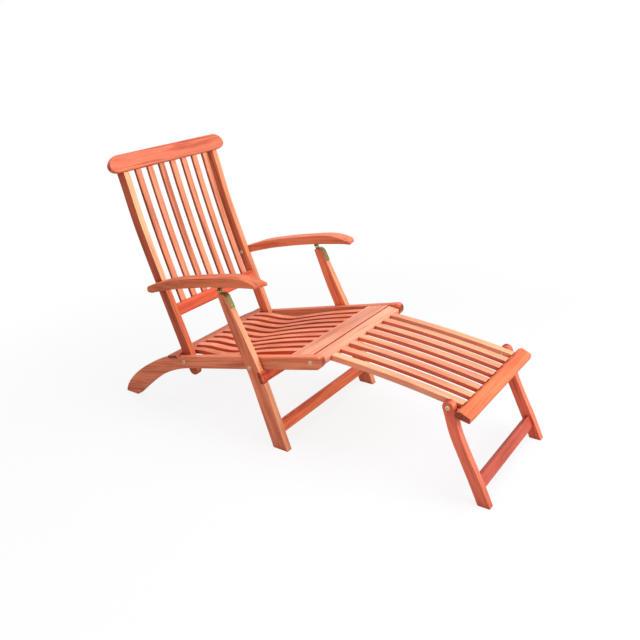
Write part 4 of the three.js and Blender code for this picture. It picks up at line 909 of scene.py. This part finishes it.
# %% The arm's pattern
ARM_WIDTH, ARM_CENTRE, ARM_NOSE, ARM_TAIL = 52, 264, 507, 25
ARM_LENGTH, ARM_RISE, NOSE_SLANT = ARM_NOSE + ARM_TAIL, 113, 14
TAIL_TOP, TAIL_UNDER, SHAPED_FROM, ARM_STATIONS, PLAN_TAPER, TAPER_ENDS = 7.5, -13.5, 36, 23, 12, 228
TOP_SHARES = ((0.108, 0.263), (0.2075, 0.434), (0.35, 0.605), (0.527, 0.776), (0.656, 0.887), (0.779, 0.981),
              (0.858, 0.998), (0.91, 0.973), (0.95, 0.935), (1, 0.88))
UNDER_SHARES = ((0.0355, -0.113), (0.146, 0.041), (0.2916, 0.2376), (0.43, 0.391), (0.5626, 0.5197),
                (0.697, 0.631), (0.936, 0.783), (1, 0.79))
arm_top, arm_under = ([Vector((along * ARM_LENGTH - ARM_TAIL, rise * ARM_RISE)) for along, rise in shares]
                      for shares in (TOP_SHARES, UNDER_SHARES))


def height_along(points, x):
    """The height of a smooth line through the points, where it passes x."""
    fine = [smooth(points, share) for share in evenly(0, 1, 201)]
    for one, two in zip(fine, fine[1:]):
        if one.x <= x <= two.x:
            return one.y + (two.y - one.y) * (x - one.x) / (two.x - one.x)
    return fine[-1].y if x > fine[-1].x else fine[0].y


# %% One arm
def saw_arm(side):
    """The right (-1) or left (+1) arm on its bench, with its middle at y = 0."""
    places = evenly(SHAPED_FROM, ARM_NOSE, ARM_STATIONS)
    top = [(-ARM_TAIL, TAIL_TOP), (2.4, 19.3)] + [(x, height_along(arm_top, x)) for x in places]
    under = [(-ARM_TAIL, TAIL_UNDER), (0, -12.2)] + [(x, height_along(arm_under, x)) for x in places]
    arm = saw_to_pattern(0, under, top, ARM_WIDTH)
    stations = sorted({round(v.co.x, 5) for v in bmesh.from_edit_mesh(arm.data).verts})
    for x in stations:
        inward = PLAN_TAPER * min(1, max(0, (TAPER_ENDS - x / MM) / TAPER_ENDS)) ** 1.2
        pick("VERT", lambda vertex: abs(vertex.co.x - x) < 1e-5 and vertex.co.y * side > 0)
        bpy.ops.transform.translate(value=(0, -side * inward * MM, 0))
    round_corner(-ARM_TAIL, TAIL_TOP, 9.5)
    round_corner(-ARM_TAIL, TAIL_UNDER, 9.5)
    pick("VERT", lambda vertex: vertex.co.x > (ARM_NOSE - 1) * MM and vertex.co.y * side > 0)
    bpy.ops.transform.translate(value=(-NOSE_SLANT * MM, 0, 0))
    nose_from = (ARM_NOSE - NOSE_SLANT - 1) * MM
    for way, cut_back in ((side, 9), (-side, 7)):
        pick("EDGE", lambda edge: all(v.co.x > nose_from and v.co.y * way > ARM_WIDTH / 3 * MM for v in edge.verts))
        bpy.ops.mesh.bevel(offset=cut_back * MM, segments=4, affect="EDGES", clamp_overlap=False)
    ease(arm, 3.2, 4)
    return arm


# %% Both arms
HINGE_ALONG, HINGE_RISE, LEG_CENTRE, LEAF_REAR, LEAF_FRONT, STRAP_WIDTH = 329, 58.5, 274.6, -13, 44, 20
LEAF_FIT, LEAF_LET_IN = 0.3, 8.7

for side, word in SIDES:
    arm = saw_arm(side)
    middle, half = side * (LEG_CENTRE - ARM_CENTRE), STRAP_WIDTH / 2 + LEAF_FIT
    house(arm, (HINGE_ALONG + LEAF_REAR - LEAF_FIT, middle - half, -BEYOND),
          (HINGE_ALONG + LEAF_FRONT + LEAF_FIT, middle + half, HINGE_RISE + LEAF_LET_IN))
    set_in_chair(arm, ARM_BENCH, [(f"arm_{word}", side * ARM_CENTRE)])

# %% [markdown]
# ## Front legs
# A front leg crosses the seat rail at its bolt, swells there, and narrows to
# the brass hinge under the arm. Its foot is cut level with the floor. The stop
# bar lies in a notch in its front edge, and the end grain of the bar shows.

# %% The leg's pattern
LEG_WIDTHS, LEG_BOW = (57, 58, 52.8, 45.5, 33), (-2, 4.9, 8.5, -0.8, -6.8)
LEG_PIVOT_HEIGHT, LEG_THICKNESS, LEG_TOP = 280, 24, 261.3
leg_foot = -LEG_PIVOT_HEIGHT / cos(LEG_LEAN)


def leg_edge(height, way):
    """The front (+1) or rear (-1) edge of a front leg at a height on its bench, as (x, z)."""
    share = (height - leg_foot) / (LEG_TOP - leg_foot)
    return smooth(LEG_BOW, share) + way * smooth(LEG_WIDTHS, share) / 2, height


start, end = leg_foot * 0.85, LEG_TOP - 24
steps = evenly(start, end, 16) + [LEG_TOP]
leg_rear, leg_front = ([on_floor(leg_edge(leg_foot, way)[0], LEG_PIVOT_HEIGHT, LEG_LEAN)]
                       + [leg_edge(z, way) for z in steps] for way in (-1, 1))
print("leg pattern:", len(leg_front), "stations")

# %% Front legs
BAR_FRONT, BAR_TOP, BAR_HEIGHT, BAR_THICKNESS = 35.48, -21.05, 41, 14
BAR_REAR, BAR_UNDER = BAR_FRONT - BAR_THICKNESS, BAR_TOP - BAR_HEIGHT

leg = sawn(2, leg_rear, leg_front, LEG_THICKNESS, [(*leg_front[-1], 22, 8), (*leg_rear[-1], 3, 3)])
house(leg, (BAR_REAR - HOUSING_FIT, -THROUGH, BAR_UNDER - HOUSING_FIT),
      (BAR_FRONT + BEYOND, THROUGH, BAR_TOP + HOUSING_FIT))
set_in_chair(leg, LEG_BENCH, both("front_leg", LEG_CENTRE))

# %% [markdown]
# ### Stop bar and stretcher
# The stop bar sits in the notches of both legs and bears on the seat rails from
# below, which stops the legs. Two plugs over its screws show at each end. The
# stretcher lower down is a plain rail, pinned through its tenons.

# %% Stop bar and lower stretcher
LEG_OUTER, LEG_INNER = LEG_CENTRE + LEG_THICKNESS / 2, LEG_CENTRE - LEG_THICKNESS / 2
STRETCHER_FRONT, STRETCHER_TOP, STRETCHER_DEPTH, STRETCHER_HEIGHT = 11.1, -211.5, 20, 40

bar = blank("bar", (BAR_REAR, -LEG_OUTER, BAR_UNDER), (BAR_FRONT, LEG_OUTER, BAR_TOP))
round_corner(BAR_REAR, BAR_UNDER, 5, 5)
round_corner(BAR_FRONT, BAR_UNDER, 5, 5)
ease(bar, 1.2)
set_in_chair(bar, LEG_BENCH, [("stop_bar", 0)])
cross_member("lower_stretcher", LEG_BENCH, LEG_INNER + 0.1, STRETCHER_FRONT - STRETCHER_DEPTH, STRETCHER_FRONT,
             STRETCHER_TOP - STRETCHER_HEIGHT, STRETCHER_TOP)

# %% [markdown]
# ## Leg rest
# The panel hangs on two bolts in the nose of the seat rails. Its side rails and
# six slats share one bowed outline, and their front ends are cut to the slope
# of the end board, which is shaped like a thin nosing.

# %% The bow of the leg rest
REST_TOP, REST_REAR, REST_BOW, END_REAR, END_SLOPE, END_KINK = 13, 35, 7, 475.12, 6 / 13, -5


def end_face(height):
    """Where the sloping rear face of the end board is at a height on the rest's bench."""
    return END_REAR + (height - END_KINK) * END_SLOPE


def bowed_line(height, stations=18):
    """A bowed line from the rear rail to the end board, at a height above the pivot."""
    start, end = REST_REAR - 1, end_face(height) + 1
    return [(start + share * (end - start), height + 4 * REST_BOW * share * (1 - share))
            for share in evenly(0, 1, stations)]


def rest_member(width, thickness, radius):
    """A side rail or slat of the leg rest, sawn to the bow."""
    return sawn(0, bowed_line(REST_TOP - thickness), bowed_line(REST_TOP), width, radius=radius)


# %% Side rails and slats of the leg rest
REST_WIDTH, SIDE_RAIL_DEPTH, REST_SLAT_DEPTH, SIDE_RAIL_CENTRE, REST_SLATS, REST_SPREAD = 28, 20, 14, 186.2, 6, 133

side_rail, slat = rest_member(REST_WIDTH, SIDE_RAIL_DEPTH, 2.6), rest_member(REST_WIDTH, REST_SLAT_DEPTH, 1.9)
set_in_chair(side_rail, REST_BENCH, both("leg_rest_side_rail", SIDE_RAIL_CENTRE))
set_in_chair(slat, REST_BENCH, in_a_row("leg_rest_slat", REST_SLATS, REST_SPREAD))

# %% Rear rail and end board of the leg rest
END_FRONT, END_UNDER, END_WIDTH = END_REAR + 51.5, -16, 478

cross_member("leg_rest_rear_rail", REST_BENCH, BETWEEN_RAILS, -9, REST_REAR, -7, REST_TOP, 2.6)
board = saw_to_pattern(0, [(END_REAR, END_KINK), (END_REAR + 6, -12.5), (END_FRONT - 1, END_UNDER)],
                       [(end_face(8), 8), (END_REAR + 18, REST_TOP), (END_FRONT, 2)], END_WIDTH)
ease(board, 2.8, 4, sharp=16)
set_in_chair(board, REST_BENCH, [("leg_rest_end_board", 0)])

# %% [markdown]
# ### Legs of the leg rest
# These two legs have a round top about their bolt, a slight bow and a foot cut
# level. They fold flat under the panel.

# %% The rest leg's pattern
REST_LEG_WIDTHS, REST_LEG_BOW = (37, 34, 34, 36.5, 36.7), (0, -9.5, -7.2, -2.8, -1.3)
REST_LEG_TOP, REST_LEG_HEIGHT, REST_LEG_CENTRE, REST_LEG_THICKNESS = 18.5, 294.915, 212.8, 24
rest_leg_foot = -REST_LEG_HEIGHT / cos(REST_LEG_LEAN)


def rest_leg_edge(height, way):
    """The front (+1) or rear (-1) edge of a rest leg at a height below its bolt, as (x, z)."""
    share = height / rest_leg_foot
    return smooth(REST_LEG_BOW, share) + way * smooth(REST_LEG_WIDTHS, share) / 2, height


steps = evenly(rest_leg_foot, 0, 15)[1:]
leg_rear, leg_front = ([on_floor(rest_leg_edge(rest_leg_foot, way)[0], REST_LEG_HEIGHT, REST_LEG_LEAN)]
                       + [rest_leg_edge(z, way) for z in steps] + [(way * REST_LEG_TOP, REST_LEG_TOP)]
                       for way in (-1, 1))
print("rest leg pattern:", len(leg_front), "stations")

# %% Rest legs and their stretcher
leg = sawn(2, leg_rear, leg_front, REST_LEG_THICKNESS, [(*leg_front[-1], 18.3, 9), (*leg_rear[-1], 18.3, 9)])
set_in_chair(leg, REST_LEG_BENCH, both("leg_rest_leg", REST_LEG_CENTRE))
REST_STRETCHER = (-11.36, 6.64, -272.08, -232.08)  # its rear, front, under and top
cross_member("leg_rest_stretcher", REST_LEG_BENCH, REST_LEG_CENTRE - REST_LEG_THICKNESS / 2 + 0.1, *REST_STRETCHER)

# %% [markdown]
# ## Brass bolts
# Each pivot is a brass furniture bolt: a washer and a low domed head with a
# hexagon socket, and on three of the five pairs a nut with a domed cap. The head
# is grown from a disc by insets and extrusions, and the socket is cut with a
# six-sided punch. All are made at the origin of a bench, where every pivot lies.


# %% Turning a bolt
def disc(radius, thickness, near, around=40, steps=()):
    """A disc about y in mm, from near to near + thickness. Each step insets its -y face and moves that out."""
    bpy.ops.object.select_all(action="DESELECT")
    bpy.ops.mesh.primitive_cylinder_add(vertices=around, radius=radius * MM, depth=thickness * MM,
                                        rotation=(pi / 2, 0, 0), location=(0, (near + thickness / 2) * MM, 0))
    bpy.ops.object.transform_apply(location=True, rotation=True, scale=True)
    bpy.ops.object.mode_set(mode="EDIT")
    pick("FACE", lambda face: face.normal.y < -0.99)
    for inward, outward in steps:
        if inward:
            bpy.ops.mesh.inset(thickness=inward * MM, depth=0)
        if outward:
            bpy.ops.mesh.extrude_region_move(TRANSFORM_OT_translate={"value": (0, -outward * MM, 0)})
    bpy.ops.object.mode_set(mode="OBJECT")
    return bpy.context.object


def moved(piece, x=0, y=0, z=0, turn=Matrix()):
    """Turns the piece about the bench's origin, and moves it by millimetres."""
    piece.matrix_world = Matrix.Translation((x * MM, y * MM, z * MM)) @ turn
    only(piece)
    bpy.ops.object.transform_apply(location=True, rotation=True, scale=True)
    return piece


def joined(pieces):
    """The pieces as one object."""
    bpy.ops.object.select_all(action="DESELECT")
    for piece in pieces:
        piece.select_set(True)
    bpy.context.view_layer.objects.active = pieces[0]
    bpy.ops.object.join()
    return bpy.context.object


HALF_ROUND = Matrix.Rotation(pi, 4, "Z")
HEAD_RADIUS, WASHER, SOCKET_RADIUS, SHANK_RADIUS, NUT_RADIUS, CAP_RADIUS = 7.4, 0.9, 2.5, 3, 6.5, 4.8
HEAD_DOME = [(1.0, 0), (0, 0.9), (0.25, 0.75), (0.7, 0.65), (1.2, 0.4), (1.5, 0.15)]
CAP_DOME = [(0.3, 0.5), (0.8, 0.5), (1.2, 0.3)]


def bolt(grip, with_nut):
    """A bolt whose head faces -y and whose shank reaches inward from y = 0 for its grip, in mm."""
    head = disc(HEAD_RADIUS, WASHER, -WASHER, steps=HEAD_DOME)
    cut_out(head, disc(SOCKET_RADIUS, 6, -7, 6))
    parts = [head, disc(SHANK_RADIUS, grip, 0, 20)]
    if with_nut:
        washer = disc(7.2, 0.8, -0.8)
        nut = disc(NUT_RADIUS, 2.2, -3.0, 6, [(0.6, 0.2)])
        cap = disc(CAP_RADIUS, 0.4, -3.5, 24, CAP_DOME)
        parts.append(moved(joined([washer, nut, cap]), y=grip, turn=HALF_ROUND))
    return joined(parts)


# %% Bolts in their holes
HEAD_CLEAR = 0.2


def set_bolts(name, place, head_at, grip, with_nut, facing=1):
    """A right and a left bolt. Its head is at this distance from the middle and faces out (1) or in (-1)."""
    for side, word in SIDES:
        turn = HALF_ROUND if side * facing > 0 else Matrix()
        one = moved(bolt(grip, with_nut), y=side * (head_at + facing * HEAD_CLEAR), turn=turn)
        set_in_chair(one, place, [(f"{name}_{word}", 0)], SMOOTH_BOLT)


RAIL_OUTER = RAIL_CENTRE + RAIL_THICKNESS / 2
set_bolts("back_pivot_bolt", SEAT_BENCH, RAIL_OUTER, 49.0, True)
set_bolts("leg_pivot_bolt", LEG_BENCH, LEG_OUTER, 49.0, True)
set_bolts("leg_rest_pivot_bolt", REST_BENCH, RAIL_OUTER, 55, False)
set_bolts("arm_pivot_bolt", ARM_BENCH, STILE_INNER, 56, False, facing=-1)
set_bolts("leg_rest_leg_bolt", REST_LEG_BENCH, REST_LEG_CENTRE + REST_LEG_THICKNESS / 2, 53.2, True)

# %% [markdown]
# ## Arm hinges
# A brass strap goes over the top of each front leg and down its front, and ends
# in two knuckles. A leaf under the arm has the barrel that lies between them. A
# strap like this is bent from flat bar, so it is bent here in the same way: a
# thin blank in stations, each moved to its place on the bend. The leaf is tilted
# about the pin until it lies flat on the slope of the arm's underside.

# %% The bend of the strap
PIN_BACK, PIN_UP, PIN_RADIUS, KNUCKLE_RADIUS, BARREL_RADIUS, BORE_RADIUS = 13.6, 276.3, 2, 4, 6, 4.2
BARREL_WIDTH, KNUCKLE_WIDTH, BARREL_GAP, SCREW_RADIUS = 8, 5.2, 0.8, 3.6
LEAF_TILT, LEAF_UNDER, LEAF_THICKNESS = radians(-8.6), 7.6, 2.4
strap_inner = [(-14.8, 276.3), (-14.8, 268), (-14.6, 262.9), (-13.5, 261.9)] + curve(
    (-11.07, 261.9), (2.13, 261.9), (11.53, 252.5), (11.53, 239.3), 12) + [(14.19, 206.3)]
strap_outer = [(-12.4, 276.3), (-12.4, 268), (-12.2, 265.2), (-11.6, 264.4)] + curve(
    (-11.07, 264.3), (2.13, 264.3), (13.93, 254.9), (13.93, 239.3), 12) + [(16.58, 206.3)]
print("strap pattern:", len(strap_outer), "stations")


def screw():
    """A low domed screw head with a slot, facing -y."""
    head = disc(SCREW_RADIUS, 0.5, -0.5, 24, [(0.5, 0.35), (1.0, 0.25)])
    house(head, (-0.35, -2, -5), (0.35, -0.45, 5))
    return head


def hinge_strap():
    """The strap over the leg's top on the leg's bench, with its two knuckles and two screws."""
    strap = saw_to_pattern(0, strap_inner, strap_outer, STRAP_WIDTH)
    ease(strap, 0.5, 2, 50)
    slot_half = BARREL_WIDTH / 2 + BARREL_GAP
    house(strap, (-25, -slot_half, 267.9), (-5, slot_half, 290))
    aside = (STRAP_WIDTH - KNUCKLE_WIDTH) / 2
    knuckles = [moved(disc(KNUCKLE_RADIUS, KNUCKLE_WIDTH, -KNUCKLE_WIDTH / 2, 28), -PIN_BACK, way * aside, PIN_UP)
                for way in (-1, 1)]
    facing_out = Matrix.Rotation(radians(-4.6), 4, "Y") @ Matrix.Rotation(pi / 2, 4, "Z")
    screws = [moved(screw(), out, 0, height, facing_out) for height, out in ((231, 14.2), (215, 15.5))]
    return joined([strap] + knuckles + screws)


def hinge_leaf():
    """The leaf under the arm on the arm's bench, with its barrel round the pin and its two screws."""
    leaf = blank("leaf", (LEAF_REAR, -STRAP_WIDTH / 2, LEAF_UNDER),
                 (LEAF_FRONT, STRAP_WIDTH / 2, LEAF_UNDER + LEAF_THICKNESS))
    ease(leaf, 0.5, 2, 50)
    web = block("web", (-2.4, -BARREL_WIDTH / 2, 3.5), (2.4, BARREL_WIDTH / 2, LEAF_UNDER + 0.5))
    barrel = disc(BARREL_RADIUS, BARREL_WIDTH, -BARREL_WIDTH / 2, 32)
    cut_out(barrel, disc(BORE_RADIUS, 2 * BARREL_WIDTH, -BARREL_WIDTH, 32))
    facing_down = Matrix.Rotation(pi / 2, 4, "X")
    screws = [moved(screw(), along, 0, LEAF_UNDER + 0.2, facing_down) for along in (17, 35)]
    return moved(joined([leaf, web, barrel] + screws), HINGE_ALONG, 0, HINGE_RISE, Matrix.Rotation(LEAF_TILT, 4, "Y"))


# %% Strap, leaf and pin
for side, word in SIDES:
    aside = side * LEG_CENTRE
    set_in_chair(hinge_strap(), LEG_BENCH, [(f"leg_hinge_strap_{word}", aside)])
    set_in_chair(hinge_leaf(), ARM_BENCH, [(f"arm_hinge_leaf_{word}", aside)])
    pin = disc(PIN_RADIUS, STRAP_WIDTH - 0.4, -STRAP_WIDTH / 2 + 0.2, 20)
    ease(pin, 0.7)
    set_in_chair(moved(pin, -PIN_BACK, 0, PIN_UP), LEG_BENCH, [(f"hinge_pin_{word}", aside)])

# %% [markdown]
# ## Plugs
# Screws hold the stop bar in its notches, and pins hold the stretcher's tenons.
# Each is under a round plug of the same wood that stands a hair proud. A plug
# is a slice of dowel, so its end is dark.

# %% Plugs of the front frame
PLUG_RADIUS, PLUG_SINK = 3.4, 0.9
PLUG_PLACES = ((BAR_FRONT, LEG_CENTRE, -33), (BAR_FRONT, LEG_CENTRE, -47), (STRETCHER_FRONT, 256, -231))

facing_front = Matrix.Rotation(pi / 2, 4, "Z")
plugs = [moved(disc(PLUG_RADIUS, 2, -1, 20, [(0.4, 0.2)]), front - PLUG_SINK, side * aside, height, facing_front)
         for side in (-1, 1) for front, aside, height in PLUG_PLACES]
plugs = moved(joined(plugs), turn=LEG_BENCH)
plugs.name = plugs.data.name = "front_frame_plugs"
dress(plugs, hardwood("front_frame_plugs", Euler((0, 0, 0)), "red"), "front_legs", "stop_bar")
print("pieces made:", len(pieces_made), "of", len(nodes), "and the plugs")
